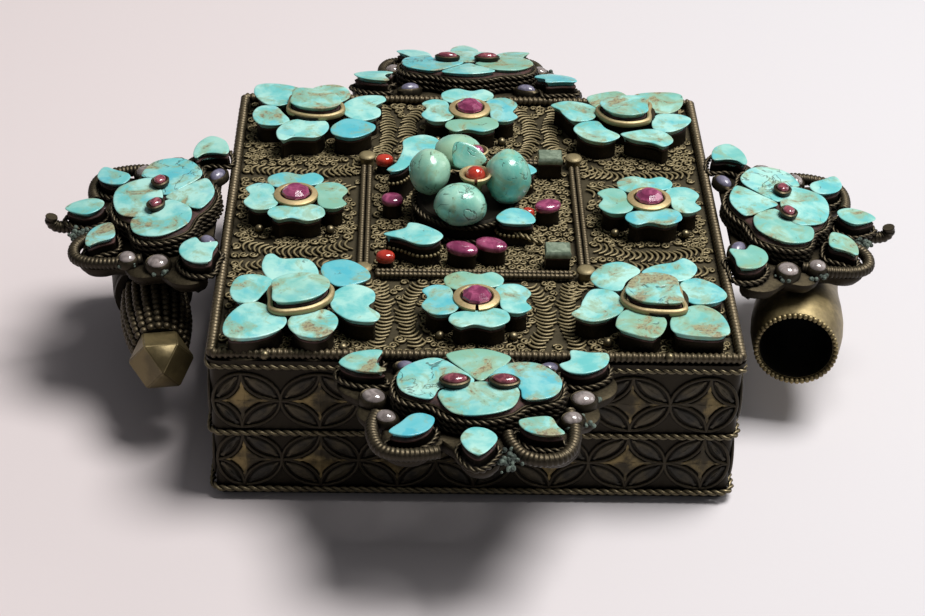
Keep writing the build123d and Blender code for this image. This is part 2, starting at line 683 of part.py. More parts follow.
def knob():
    """A cube with its corners cut off to the middles of its edges."""
    unit = KNOB_HALF / sqrt(2)
    corners = [c for c in product((-1, 0, 1), repeat=3) if sum(map(abs, c)) == 2]
    faces = []
    for axis, sign in product(range(3), (-1, 1)):
        square = sorted((c for c in corners if c[axis] == sign), key=lambda c: c[:axis] + c[axis + 1 :])
        faces.append([square[0], square[1], square[3], square[2]])
    for signs in product((-1, 1), repeat=3):
        faces.append([c for c in corners if all(v in (0, s) for v, s in zip(c, signs))])
    return polyhedron([[tuple(unit * v for v in c) for c in face] for face in faces])


def finial():
    """The plug of the left tube: a shank in the bore, a bud on its collar and a faceted knob."""
    frame = tube_frame(-1)
    near = LEFT_TUBE_L
    shank_r = BORE_R - FINIAL_GAP
    foot = near + COLLAR_H
    end = foot + BUD_L
    shank = lathe(
        [
            (0, near - SHANK_L),
            (shank_r, near - SHANK_L),
            (shank_r, near),
            (COLLAR_R, near),
            (COLLAR_R, foot),
            (0, foot),
        ]
    )
    bud = lathe(
        [
            (0, foot),
            (BUD_NECK_R, foot),
            (BUD_R, foot + BUD_L / 4),
            (BUD_R, foot + 5 * BUD_L / 8),
            (BUD_END_R, end),
            (0, end),
        ]
    )
    behind = Pos(0, 0, end) * Box(8 * BUD_R, 8 * BUD_R, 8 * BUD_R, align=(Align.CENTER, Align.CENTER, Align.MAX))
    tip = Pos(0, 0, end + KNOB_SEAT) * Rot(0, KNOB_PITCH - 90, 0) * Rot(0, 0, -45) * knob() - behind
    return {"finial_shank": [frame * shank], "finial_bud": [frame * bud], "finial_knob": [frame * tip]}


def save(nodes):
    """Writes each node, a solid or a group of separate solids, to its own file."""
    os.makedirs("parts", exist_ok=True)
    for name, pieces in nodes.items():
        solids = [solid for piece in pieces for solid in piece.solids()]
        export_step(solids[0] if len(solids) == 1 else Compound(solids), f"parts/{name}.step")


def main():
    """Builds every node of the amulet box and writes it."""
    nodes = {}
    groups = (tray, cover, filigree, centre_frame, corner_rosettes, side_rosettes, centre_cluster, tubes, finial)
    for group in groups:
        nodes.update(group())
    for side in WING_TURNS:
        for name, pieces in wing(side).items():
            nodes.setdefault(name, []).extend(pieces)
    save(nodes)


main()
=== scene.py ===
"""Looks of a square amulet box set with turquoise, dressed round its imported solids.

Lengths in this file are in millimetres unless a name says otherwise. Meshes are written in metres.
"""

from __future__ import annotations

import json
import logging
import math
import random
from collections.abc import Iterable, Sequence
from dataclasses import dataclass, field, replace
from enum import Enum
from itertools import product

import bmesh
import bpy
from mathutils import Matrix, Vector, noise

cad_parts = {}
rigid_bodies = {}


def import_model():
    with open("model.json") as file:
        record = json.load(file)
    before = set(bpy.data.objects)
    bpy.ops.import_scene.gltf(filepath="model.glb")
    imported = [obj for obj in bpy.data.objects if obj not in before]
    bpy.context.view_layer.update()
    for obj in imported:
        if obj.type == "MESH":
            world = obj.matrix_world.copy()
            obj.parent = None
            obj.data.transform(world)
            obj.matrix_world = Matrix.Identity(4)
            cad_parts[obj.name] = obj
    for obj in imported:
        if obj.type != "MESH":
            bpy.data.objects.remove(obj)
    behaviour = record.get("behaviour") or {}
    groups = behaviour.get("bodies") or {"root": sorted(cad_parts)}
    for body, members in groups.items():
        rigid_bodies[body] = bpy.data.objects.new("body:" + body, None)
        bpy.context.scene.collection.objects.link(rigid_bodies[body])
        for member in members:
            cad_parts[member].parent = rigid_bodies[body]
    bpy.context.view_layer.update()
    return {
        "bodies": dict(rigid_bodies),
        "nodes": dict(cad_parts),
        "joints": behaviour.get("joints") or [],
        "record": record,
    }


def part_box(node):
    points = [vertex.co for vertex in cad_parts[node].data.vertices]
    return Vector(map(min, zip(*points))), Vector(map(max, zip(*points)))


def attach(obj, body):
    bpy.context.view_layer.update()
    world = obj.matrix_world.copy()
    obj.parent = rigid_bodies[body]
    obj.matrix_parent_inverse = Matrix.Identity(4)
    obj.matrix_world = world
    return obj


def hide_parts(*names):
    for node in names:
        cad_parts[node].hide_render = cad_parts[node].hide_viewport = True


LOG = logging.getLogger("amulet_box")
MM = 0.001
UP = Vector((0, 0, 1))
HALF_SIDE = 44.5  # cover wall, from the middle of the box
TRAY_HALF = 44.2  # tray wall
EDGE = 45.0  # deck's edge
DECK = 29.0  # upper face of the deck
QUADRANTS = ((1, 1), (-1, 1), (-1, -1), (1, -1))
TURNS = [Matrix.Rotation(math.radians(turn), 3, "Z") for turn in (0, 90, 180, 270)]
EIGHTHS = [math.pi * i / 16 for i in range(9)]  # of a right angle
SMOOTH_CREASE = 40.0  # edges sharper than this many degrees stay crisp
STONE_CREASE = 50.0  # the same for flat stones
TURNED_CREASE = 30.0  # for tubes
FACET_CREASE = 12.0  # for cut stones

Object = bpy.types.Object
Material = bpy.types.Material
Socket = bpy.types.NodeSocket
Pair = tuple[float, float]
Triple = tuple[float, float, float]
Colour = Triple
Tint = tuple[float, float, float, float]
Ring = list[Vector]
Outline = tuple[Pair, ...]
Section = Sequence[Pair]
NO_TINT: Tint = (0.0, 0.0, 0.0, 0.0)


class Body(Enum):
    """The moving bodies of the box."""

    TRAY = "tray"
    COVER = "cover"
    FINIAL = "finial"


class Slot(Enum):
    """The record's material slots."""

    METAL = "oxidised_silver"
    WIRE = "filigree"
    GILT = "gilt"
    BRASS = "brass"
    TURQUOISE = "turquoise"
    RUBY = "ruby"
    CORAL = "coral"
    EMERALD = "emerald"
    PEARL = "pearl"
    CRYSTAL = "crystal"


class Side(Enum):
    """The four wings: turn about the box, bend below the level and top at the box above the deck."""

    FRONT = ("front", 0, -1.0, -0.7)
    RIGHT = ("right", 90, 6.0, 1.2)
    BACK = ("back", 180, 13.0, 1.2)
    LEFT = ("left", 270, 6.0, 1.2)

    @property
    def label(self) -> str:
        """The side's name in the node names."""
        return self.value[0]

    @property
    def turn(self) -> int:
        """The wing's turn about the box, in degrees."""
        return self.value[1]

    @property
    def matrix(self) -> Matrix:
        """The wing's place.

        Returns:
            From the wing's own frame, in millimetres, to the box.
        """
        _, turn, slope, top = self.value
        bend = Matrix.Translation((0, -EDGE, DECK + top)) @ Matrix.Rotation(math.radians(slope), 4, "X")
        return Matrix.Rotation(math.radians(turn), 4, "Z") @ bend

    @property
    def axis(self) -> Vector:
        """The way the wing's upper face points."""
        return (self.matrix.to_3x3() @ UP).normalized()


class Shader:
    """A material and short calls for its nodes."""

    def __init__(self, name: str) -> None:
        """Starts an empty finish.

        Args:
            name: The material's name.
        """
        self.material = bpy.data.materials.new(name)
        self.material.use_nodes = True
        self.tree = self.material.node_tree
        self.bsdf = self.tree.nodes["Principled BSDF"]
        self.place = self.add("ShaderNodeTexCoord").outputs["Object"]

    def add(self, kind: str, feeds: dict | None = None, **settings: object) -> bpy.types.Node:
        """Adds a node.

        Args:
            kind: The node's type name.
            feeds: Values or sockets for its inputs.
            settings: The node's own properties.

        Returns:
            The node.
        """
        node = self.tree.nodes.new(kind)
        for key, value in settings.items():
            setattr(node, key, value)
        for key, value in (feeds or {}).items():
            self.feed(node.inputs[key], value)
        return node

    def feed(self, socket: Socket, value: object) -> None:
        """Links a socket to an input, or sets the input's value.

        Args:
            socket: The input.
            value: The socket or the value.
        """
        if isinstance(value, Socket):
            self.tree.links.new(value, socket)
        else:
            socket.default_value = value

    def set(self, **values: object) -> None:
        """Sets inputs of the main shader, named with underscores for spaces."""
        for key, value in values.items():
            self.feed(self.bsdf.inputs[key.replace("_", " ")], value)

    def noise(self, scale: float, detail: float = 4.0, rough: float = 0.55, warp: float = 0.0) -> Socket:
        """A cloudy pattern of a number of spots to the metre."""
        looks = {"Scale": scale, "Detail": detail, "Roughness": rough, "Distortion": warp}
        return self.add("ShaderNodeTexNoise", {"Vector": self.place, **looks}).outputs["Fac"]

    def ramp(self, fac: object, low: float, high: float) -> Socket:
        """A smooth step from 0 at low to 1 at high."""
        feeds = {"Value": fac, "From Min": low, "From Max": high}
        return self.add("ShaderNodeMapRange", feeds, interpolation_type="SMOOTHSTEP").outputs["Result"]

    def math(self, operation: str, first: object, second: object = 0.0) -> Socket:
        """A sum of two numbers, of the named kind."""
        return self.add("ShaderNodeMath", {0: first, 1: second}, operation=operation).outputs[0]

    def swing(self, pattern: object, width: float) -> Socket:
        """A pattern as a number about 0, of a width."""
        return self.math("MULTIPLY", self.math("SUBTRACT", pattern, 0.5), width)

    def mix(self, fac: object, first: object, second: object) -> Socket:
        """Blends two colours.

        Args:
            fac: The second colour's share.
            first: A colour or a socket.
            second: A colour or a socket.

        Returns:
            The blend.
        """
        node = self.add("ShaderNodeMix", {}, data_type="RGBA")
        self.feed(node.inputs["Factor"], fac)
        for socket, value in zip([s for s in node.inputs if s.type == "RGBA"], (first, second)):
            self.feed(socket, (*value, 1.0) if isinstance(value, tuple) else value)
        return next(s for s in node.outputs if s.type == "RGBA")

    def bump(self, height: object, strength: float, depth: float) -> None:
        """Raises the surface by a pattern, depth in millimetres."""
        feeds = {"Height": height, "Strength": strength, "Distance": depth * MM}
        self.set(Normal=self.add("ShaderNodeBump", feeds).outputs["Normal"])


@dataclass(frozen=True)
class AgedMetal:
    """Metal with dirt in its hollows; proud, upward-facing parts are lighter, partly real wear and partly
    painted highlight.
    """

    name: str
    dark: Colour
    body: Colour
    # lighter colour of proud, upward-facing parts: partly real wear, partly painted highlight
    rubbed: Colour
    metallic: float = 0.85
    roughness: float = 0.42
    reach: float = 1.4  # how far round a point the hollows are felt
    grain: float = 420.0
    bump: float = 0.05
    worn: float = 0.0  # share of the body's colour lost in patches
    patches: float = 150.0  # worn patches to the metre

    def make(self) -> Material:
        """Builds the material.

        Returns:
            The material.
        """
        s = Shader(self.name)
        cloud = s.noise(self.grain, 6.0, 0.62)
        fine = s.noise(self.grain * 5.0, 3.0, 0.5)
        shade = s.add("ShaderNodeAmbientOcclusion", {"Distance": self.reach * MM}, samples=6).outputs["AO"]
        proud = s.ramp(s.math("ADD", shade, s.swing(cloud, 0.5)), 0.35, 0.95)
        normal = s.add("ShaderNodeNewGeometry").outputs["Normal"]
        facing = s.add("ShaderNodeSeparateXYZ", {"Vector": normal}).outputs["Z"]
        # Proud parts facing up take the lighter colour: partly real wear, partly painted highlight from the
        # light above.
        high = s.ramp(s.math("ADD", facing, s.swing(fine, 1.1)), 0.35, 1.15)
        colour = s.mix(proud, self.dark, self.body)
        colour = s.mix(s.math("MULTIPLY", high, proud), colour, self.rubbed)
        if self.worn:
            bare = s.ramp(s.noise(self.patches, 6.0, 0.62), 0.4, 0.6)
            colour = s.mix(s.math("MULTIPLY", bare, self.worn), colour, self.dark)
        s.set(Base_Color=colour, Metallic=self.metallic)
        s.set(Roughness=s.math("ADD", s.math("MULTIPLY", cloud, 0.24), self.roughness - 0.12))
        s.bump(s.math("ADD", cloud, fine), 0.6, self.bump)
        return s.material


@dataclass(frozen=True)
class Turquoise:
    """Ground turquoise. A stone's tint holds sky blue to green, a seed, brown earth and dark veins."""

    name: str
    blue: Colour
    pale: Colour
    green: Colour
    sky: Colour = (0.10, 0.52, 0.62)
    roughness: float = 0.3
    halo: Colour = (0.33, 0.44, 0.24)  # round the earth
    rust: Colour = (0.2, 0.09, 0.035)
    ochre: Colour = (0.37, 0.31, 0.15)
    fleck: Colour = (0.14, 0.10, 0.05)
    vein: Colour = (0.05, 0.055, 0.04)

    def make(self) -> Material:
        """Builds the material.

        Returns:
            The material.
        """
        s = Shader(self.name)
        tint = s.add("ShaderNodeAttribute", attribute_name="tint")
        green, seed, earthy = s.add("ShaderNodeSeparateColor", {"Color": tint.outputs["Color"]}).outputs
        veined = tint.outputs["Alpha"]
        shift = s.add("ShaderNodeCombineXYZ", {"X": seed, "Y": s.math("MULTIPLY", seed, 3.7)}).outputs[0]
        s.place = s.add("ShaderNodeVectorMath", {0: s.place, 1: shift}, operation="ADD").outputs[0]
        cloud = s.noise(170.0, 6.0, 0.6, 0.3)
        patch = s.noise(230.0, 7.0, 0.64, 0.5)
        speck = s.noise(1700.0, 3.0, 0.6)
        colour = s.mix(s.ramp(cloud, 0.36, 0.64), self.blue, self.pale)
        even = s.math("SUBTRACT", 0.9, s.ramp(green, -0.1, 0.3))
        drift = s.math("MULTIPLY", s.ramp(s.noise(240.0), 0.5, 0.66), 0.5)
        colour = s.mix(s.math("ADD", even, drift), colour, self.sky)
        mossy = s.math("MULTIPLY", s.ramp(green, 0.3, 1.0), s.ramp(s.noise(110.0, 3.0), 0.2, 0.65))
        colour = s.mix(mossy, colour, self.green)
        edge = s.math("SUBTRACT", 0.7, s.math("MULTIPLY", earthy, 0.24))
        brown = s.ramp(patch, edge, s.math("ADD", edge, 0.08))
        halo = s.math("MULTIPLY", s.ramp(patch, s.math("SUBTRACT", edge, 0.1), edge), 0.55)
        colour = s.mix(halo, colour, self.halo)
        earth = s.mix(s.ramp(speck, 0.4, 0.52), self.rust, self.ochre)
        colour = s.mix(s.math("MULTIPLY", brown, 0.8), colour, earth)
        dots = s.math("MULTIPLY", s.ramp(speck, 0.66, 0.7), s.ramp(patch, 0.42, 0.6))
        colour = s.mix(s.math("MULTIPLY", dots, 0.6), colour, self.fleck)
        level = s.math("ABSOLUTE", s.math("SUBTRACT", s.noise(135.0, 4.0, 0.5, 0.9), 0.5))
        line = s.math("SUBTRACT", 1.0, s.ramp(level, 0.003, 0.014))
        kept = s.math("ADD", s.noise(420.0, 2.0), s.math("MULTIPLY", veined, 0.3))
        line = s.math("MULTIPLY", line, s.ramp(kept, 0.62, 0.74))
        colour = s.mix(s.math("MULTIPLY", line, 0.65), colour, self.vein)
        s.set(Base_Color=colour, Coat_Weight=0.2, Coat_Roughness=0.18, IOR=1.55)
        s.set(Roughness=s.math("ADD", s.math("MULTIPLY", brown, 0.25), self.roughness))
        pits = s.math("ADD", line, s.math("MULTIPLY", s.math("ADD", brown, dots), 0.6))
        s.bump(s.math("SUBTRACT", s.math("MULTIPLY", patch, 0.8), pits), 0.6, 0.16)
        return s.material


@dataclass(frozen=True)
class Gem:
    """A small polished stone or glass."""

    name: str
    colour: Colour
    deep: Colour
    roughness: float = 0.08
    clear: float = 0.0
    ior: float = 1.7
    cloud: float = 500.0

    def make(self) -> Material:
        """Builds the material.

        Returns:
            The material.
        """
        s = Shader(self.name)
        haze = s.noise(self.cloud, 4.0, 0.6, 0.8)
        s.set(Base_Color=s.mix(s.ramp(haze, 0.35, 0.68), self.deep, self.colour))
        s.set(Roughness=self.roughness, IOR=self.ior, Transmission_Weight=self.clear)
        s.set(Coat_Weight=0.5, Coat_Roughness=0.04)
        s.bump(haze, 0.25, 0.06)
        return s.material


@dataclass(frozen=True)
class Earthy:
    """A dull, crumbly stuff such as mastic or crust."""

    name: str
    light: Colour
    dark: Colour
    roughness: float = 0.75
    grain: float = 900.0
    bump: float = 0.25

    def make(self) -> Material:
        """Builds the material.

        Returns:
            The material.
        """
        s = Shader(self.name)
        cloud = s.noise(self.grain, 6.0, 0.65)
        s.set(Base_Color=s.mix(s.ramp(cloud, 0.38, 0.64), self.dark, self.light), Roughness=self.roughness)
        s.bump(cloud, 0.8, self.bump)
        return s.material


@dataclass(frozen=True)
class Paper:
    """The floor: pale paper, warmer on the left."""

    name: str
    left: Colour
    right: Colour
    span: float = 0.12  # metres to each side over which the tone changes

    def make(self) -> Material:
        """Builds the material.

        Returns:
            The material.
        """
        s = Shader(self.name)
        across = s.add("ShaderNodeSeparateXYZ", {"Vector": s.place}).outputs["X"]
        s.set(Base_Color=s.mix(s.ramp(across, -self.span, self.span), self.left, self.right), Roughness=0.9)
        s.bump(s.noise(700.0, 3.0), 0.15, 0.1)
        return s.material


class Finish(Enum):
    """Every finish of the box and its stage."""

    SILVER = AgedMetal(
        "oxidised_silver", (0.006, 0.005, 0.004), (0.036, 0.029, 0.018), (0.12, 0.095, 0.053), 0.8, 0.46
    )
    # Dark metal of the collets, posts and wing plates; on the collets the extra darkness is partly painted
    # shade under the overhanging stones.
    COLLET = AgedMetal(
        "dark_collet", (0.006, 0.005, 0.004), (0.028, 0.022, 0.014), (0.075, 0.06, 0.035), 0.9, 0.6, bump=0.12
    )
    SHEET = AgedMetal(
        "dark_sheet", (0.006, 0.005, 0.004), (0.02, 0.016, 0.010), (0.06, 0.048, 0.028), 0.85, 0.52, 2.5
    )
    WIRE = AgedMetal(
        "rubbed_and_highlight_wire", (0.012, 0.010, 0.006), (0.115, 0.095, 0.055), (0.32, 0.26, 0.15), 0.8, 0.4, 1.0, 600.0
    )
    DARK_WIRE = AgedMetal(
        "dark_wire", (0.005, 0.0045, 0.0035), (0.036, 0.029, 0.019), (0.12, 0.096, 0.058),
        0.8, 0.46, 1.0, 600.0,
    )
    ROD = AgedMetal(
        "wrapped_rod", (0.008, 0.007, 0.004), (0.062, 0.048, 0.027), (0.18, 0.14, 0.08), 0.6, 0.45, 0.8, 600.0
    )
    FILIGREE = AgedMetal(
        "filigree", (0.03, 0.023, 0.011), (0.19, 0.15, 0.072), (0.34, 0.275, 0.145), 0.45, 0.5, 0.8, 700.0
    )
    GROUND = AgedMetal(
        "deck_ground", (0.022, 0.018, 0.010), (0.07, 0.057, 0.032), (0.11, 0.09, 0.052), 0.7, 0.55, 1.0
    )
    LEAF = AgedMetal(
        "worn_gilt_star", (0.012, 0.010, 0.006), (0.21, 0.155, 0.062), (0.32, 0.245, 0.108),
        0.6, 0.46, 1.2, 260.0, 0.08, 0.9,
    )
    LENS = AgedMetal(
        "dark_lens", (0.010, 0.009, 0.006), (0.06, 0.047, 0.024), (0.12, 0.094, 0.048),
        0.5, 0.5, 1.2, 260.0, 0.08, 0.9,
    )
    GILT = AgedMetal(
        "gilding", (0.15, 0.09, 0.03), (0.47, 0.345, 0.155), (0.66, 0.51, 0.27), 0.6, 0.48, 0.8, 380.0
    )
    STRIP = AgedMetal(
        "pale_gilt", (0.12, 0.08, 0.03), (0.36, 0.27, 0.125), (0.54, 0.43, 0.23), 0.5, 0.5, 0.8, 380.0
    )
    # Aged brass of the right tube and its beads, made lighter as painted light on the tube; the brass colour
    # itself is real.
    BRASS = AgedMetal(
        "aged_brass_painted_light", (0.05, 0.038, 0.017), (0.27, 0.208, 0.095), (0.46, 0.36, 0.175),
        0.6, 0.44, 2.0, 160.0, 0.06, 0.5,
    )
    KNOB = AgedMetal(
        "dull_brass", (0.035, 0.027, 0.012), (0.15, 0.115, 0.05), (0.27, 0.21, 0.098),
        0.6, 0.44, 2.0, 160.0, 0.06, 0.5,
    )
    # Near-black metal: the drum's finish, and the bore liner that paints the shade inside the right tube.
    SOOT = AgedMetal("soot", (0.004, 0.004, 0.004), (0.012, 0.010, 0.008), (0.03, 0.026, 0.018), 0.9, 0.65)
    TURQUOISE = Turquoise("turquoise", (0.17, 0.60, 0.59), (0.48, 0.84, 0.75), (0.25, 0.52, 0.38))
    NUGGET = Turquoise(
        "tumbled_turquoise", (0.15, 0.50, 0.41), (0.41, 0.74, 0.58), (0.40, 0.60, 0.40),
        (0.14, 0.50, 0.46), 0.2,
    )
    RUBY = Gem("ruby", (0.57, 0.12, 0.26), (0.24, 0.03, 0.10), 0.1, 0.15, 1.76)
    WINE = Gem("wine_ruby", (0.50, 0.14, 0.17), (0.16, 0.03, 0.05), 0.12, 0.1, 1.76, 900.0)
    CORAL = Gem("coral", (0.62, 0.055, 0.028), (0.40, 0.025, 0.015), 0.1)
    EMERALD = Gem("cloudy_emerald", (0.30, 0.37, 0.27), (0.15, 0.20, 0.14), 0.28, 0.0, 1.57, 900.0)
    PEARL = Gem("lilac_pearl", (0.29, 0.27, 0.37), (0.11, 0.105, 0.17), 0.32)
    CRYSTAL = Gem("rock_crystal", (0.72, 0.62, 0.59), (0.30, 0.255, 0.24), 0.06, 0.4, 1.54, 420.0)
    MASTIC = Earthy("red_mastic", (0.085, 0.033, 0.026), (0.032, 0.017, 0.014))
    CRUST = Earthy("verdigris_crust", (0.17, 0.22, 0.18), (0.03, 0.04, 0.033), 0.85, 1100.0, 0.35)
    FLOOR = Paper("pale_paper", (0.76, 0.68, 0.68), (0.72, 0.70, 0.72))


@dataclass
class Bench:
    """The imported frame, the geometry trees and the finishes that every piece draws on."""

    nodes: dict[str, Object]
    trees: Trees
    made: dict[Finish, Material] = field(default_factory=dict)

    def finish(self, kind: Finish) -> Material:
        """Finds a finish's material, made at its first use.

        Args:
            kind: The finish.

        Returns:
            The material.
        """
        if kind not in self.made:
            self.made[kind] = kind.value.make()
        return self.made[kind]

    def present(self, piece: Object, body: Body, slot: Slot, *nodes: str) -> None:
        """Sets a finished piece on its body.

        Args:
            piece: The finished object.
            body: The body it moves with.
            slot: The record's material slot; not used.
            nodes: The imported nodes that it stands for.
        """
        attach(piece, body.value)
        if nodes:
            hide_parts(*nodes)
        LOG.info("%s: %d faces", piece.name, len(piece.data.polygons))

    def cast(
        self,
        shape: Shape,
        name: str,
        kind: Finish,
        slot: Slot,
        *nodes: str,
        body: Body = Body.COVER,
        crisp: float = SMOOTH_CREASE,
    ) -> None:
        """Builds a gathered shape and sets it on its body.

        Args:
            shape: The piece's points and faces.
            name: The piece's name.
            kind: Its finish.
            slot: The record's material slot.
            nodes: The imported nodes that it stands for.
            body: The body it moves with.
            crisp: Edges sharper than this many degrees stay crisp.
        """
        self.present(shape.build(name, self.finish(kind), crisp), body, slot, *nodes)

    def grow(
        self,
        tree: Tree,
        base: Object,
        name: str,
        kind: Finish,
        slot: Slot,
        *nodes: str,
        body: Body = Body.COVER,
        **sizes: float,
    ) -> None:
        """Runs a geometry tree and sets the result on its body.

        Args:
            tree: The tree.
            base: The paths, points or forms that it works on, used up by it.
            name: The piece's name.
            kind: Its finish.
            slot: The record's material slot.
            nodes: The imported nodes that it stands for.
            body: The body it moves with.
            sizes: The tree's inputs, lengths in metres.
        """
        self.present(tree.grow(name, base, self.finish(kind), **sizes), body, slot, *nodes)

    def dress(self, kind: Finish, *nodes: str) -> None:
        """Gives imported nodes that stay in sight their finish.

        Args:
            kind: The finish.
            nodes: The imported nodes.
        """
        for name in nodes:
            mesh = self.nodes[name].data
            mesh.materials.clear()
            mesh.materials.append(self.finish(kind))
            LOG.info("%s: packed solid", name)


class Shape:
    """The points and faces of one piece, gathered form by form."""

    def __init__(self) -> None:
        """Starts empty."""
        self.points: list[Vector] = []
        self.faces: list[tuple[int, ...]] = []
        self.tints: list[Tint] = []

    def loft(self, rings: Sequence[Ring], tint: Tint = NO_TINT, loop: bool = False) -> None:
        """Skins rings of points. A ring of one point is a pole, and open ends are capped.

        Args:
            rings: The rings, counterclockwise as seen from the last one.
            tint: The tint of the form's points.
            loop: Whether the last ring joins the first.
        """
        rows = []
        for ring in rings:
            rows.append(range(len(self.points), len(self.points) + len(ring)))
            self.points += ring
            self.tints += [tint] * len(ring)
        pairs = list(zip(rows, rows[1:])) + ([(rows[-1], rows[0])] if loop else [])
        for low, high in pairs:
            count = max(len(low), len(high))
            for i in range(count):
                j = (i + 1) % count
                if len(low) == 1:
                    self.faces.append((low[0], high[j], high[i]))
                elif len(high) == 1:
                    self.faces.append((low[i], low[j], high[0]))
                else:
                    self.faces.append((low[i], low[j], high[j], high[i]))
        if not loop:
            if len(rows[0]) > 1:
                self.faces.append(tuple(reversed(rows[0])))
            if len(rows[-1]) > 1:
                self.faces.append(tuple(rows[-1]))

    def lathe(self, profile: Section, place: Matrix, count: int, loop: bool = False) -> None:
        """Turns a profile about a frame's Z axis.

        Args:
            profile: Radius and height of each ring.
            place: The frame, in millimetres.
            count: Points round a ring.
            loop: Whether the profile is closed on itself.
        """
        rings = []
        for radius, height in profile:
            ring = circle(radius, count, height) if radius > 0 else [Vector((0, 0, height))]
            rings.append([place @ point for point in ring])
        self.loft(rings, loop=loop)

    def build(self, name: str, material: Material, crisp: float = SMOOTH_CREASE) -> Object:
        """Turns what was gathered into an object, in metres.

        Args:
            name: The piece's name.
            material: Its finish.
            crisp: Edges sharper than this many degrees stay crisp.

        Returns:
            The object.
        """
        mesh = bpy.data.meshes.new(name)
        mesh.from_pydata([point * MM for point in self.points], [], self.faces)
        layer = mesh.attributes.new("tint", "FLOAT_COLOR", "POINT")
        layer.data.foreach_set("color", [value for tint in self.tints for value in tint])
        return finished(name, mesh, material, crisp)


def finished(name: str, mesh: bpy.types.Mesh, material: Material, crisp: float) -> Object:
    """Makes a mesh into a smooth object with a finish.

    Args:
        name: The object's name.
        mesh: Its mesh.
        material: Its finish.
        crisp: Edges sharper than this many degrees stay crisp.

    Returns:
        The object.
    """
    mesh.polygons.foreach_set("use_smooth", [True] * len(mesh.polygons))
    mesh.set_sharp_from_angle(angle=math.radians(crisp))
    mesh.materials.append(material)
    mesh.update()
    return link(bpy.data.objects.new(name, mesh))


def link(piece: Object) -> Object:
    """Puts an object in the scene."""
    bpy.context.scene.collection.objects.link(piece)
    return piece


def circle(radius: float, count: int, height: float = 0.0) -> Ring:
    """Points round the Z axis, counterclockwise."""
    turns = [math.tau * i / count for i in range(count)]
    return [Vector((radius * math.cos(t), radius * math.sin(t), height)) for t in turns]


def spaced(loop: Ring, count: int) -> Ring:
    """Walks a closed loop in even steps.

    Args:
        loop: The loop's corners.
        count: How many steps to take.

    Returns:
        The points.
    """
    lengths = [(loop[(i + 1) % len(loop)] - loop[i]).length for i in range(len(loop))]
    step, points, i, past = sum(lengths) / count, [], 0, 0.0
    for n in range(count):
        while i < len(loop) - 1 and past + lengths[i] < n * step:
            past += lengths[i]
            i += 1
        share = (n * step - past) / max(lengths[i], 1e-9)
        points.append(loop[i].lerp(loop[(i + 1) % len(loop)], share))
    return points


def softened(loop: Ring, count: int, rounds: int = 2) -> Ring:
    """Cuts off a loop's corners in turn.

    Args:
        loop: The loop.
        count: How many evenly spaced points to make of it.
        rounds: How often the corners are cut.

    Returns:
        The points.
    """
    for _ in range(rounds):
        cut = []
        for here, after in zip(loop, loop[1:] + loop[:1]):
            cut += [here.lerp(after, 0.25), here.lerp(after, 0.75)]
        loop = cut
    return spaced(loop, count)


def curve(points: Ring, closed: bool, steps: int = 6) -> Ring:
    """A smooth curve through points.

    Args:
        points: The points, in order.
        closed: Whether the curve comes back to its start.
        steps: Stretches from one point to the next.

    Returns:
        The curve's points.
    """
    last, run = len(points) - 1, []
    for i in range(last + closed):
        spots = [(i + k) % (last + 1) if closed else max(0, min(last, i + k)) for k in (-1, 0, 1, 2)]
        before, here, after, beyond = (points[n] for n in spots)
        gap = (after - here).length
        leave = (after - before) * (gap / ((here - before).length + gap))
        reach = (beyond - here) * (gap / ((beyond - after).length + gap))
        for t in (step / steps for step in range(steps)):
            ends = here * (1 - 3 * t**2 + 2 * t**3) + after * (3 * t**2 - 2 * t**3)
            run.append(ends + leave * (t - 2 * t**2 + t**3) + reach * (t**3 - t**2))
    return run if closed else [*run, points[-1]]


def drawn_in(loop: Ring, axis: Vector, inset: float, lift: float = 0.0) -> Ring:
    """A counterclockwise loop moved inwards, square to its edge, and raised along its axis."""
    sides = [after - before for before, after in zip(loop[-1:] + loop[:-1], loop[1:] + loop[:1])]
    return [p + axis.cross(side).normalized() * inset + axis * lift for p, side in zip(loop, sides)]


def middle(points: Sequence[Vector]) -> Vector:
    """The mean of some points."""
    return sum(points, Vector()) / len(points)


def seed_at(point: Vector) -> int:
    """A seed that depends on a place alone."""
    return int(round(point.x * 7.0)) * 7919 + int(round(point.y * 7.0)) * 104729 + int(round(point.z * 3.0))


@dataclass
class Solid:
    """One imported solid: the outline of its upper face and the corners of its box, in millimetres."""

    loop: Ring
    low: Vector
    high: Vector

    @property
    def centre(self) -> Vector:
        """The middle of the upper outline, or of the whole solid where it has no flat top."""
        return middle(self.loop) if self.loop else (self.low + self.high) / 2


def edge_loops(edges: Iterable[bmesh.types.BMEdge]) -> list[list[bmesh.types.BMVert]]:
    """Joins boundary edges to closed loops.

    Args:
        edges: The edges.

    Returns:
        The corners of each loop.
    """
    links: dict[bmesh.types.BMVert, list[bmesh.types.BMVert]] = {}
    for edge in edges:
        first, last = edge.verts
        links.setdefault(first, []).append(last)
        links.setdefault(last, []).append(first)
    loops = []
    while links:
        here = next(iter(links))
        loop, before = [], None
        while here in links:
            loop.append(here)
            onward = [v for v in links.pop(here) if v is not before and v in links]
            before = here
            if not onward:
                break
            here = onward[0]
        loops.append(loop)
    return loops


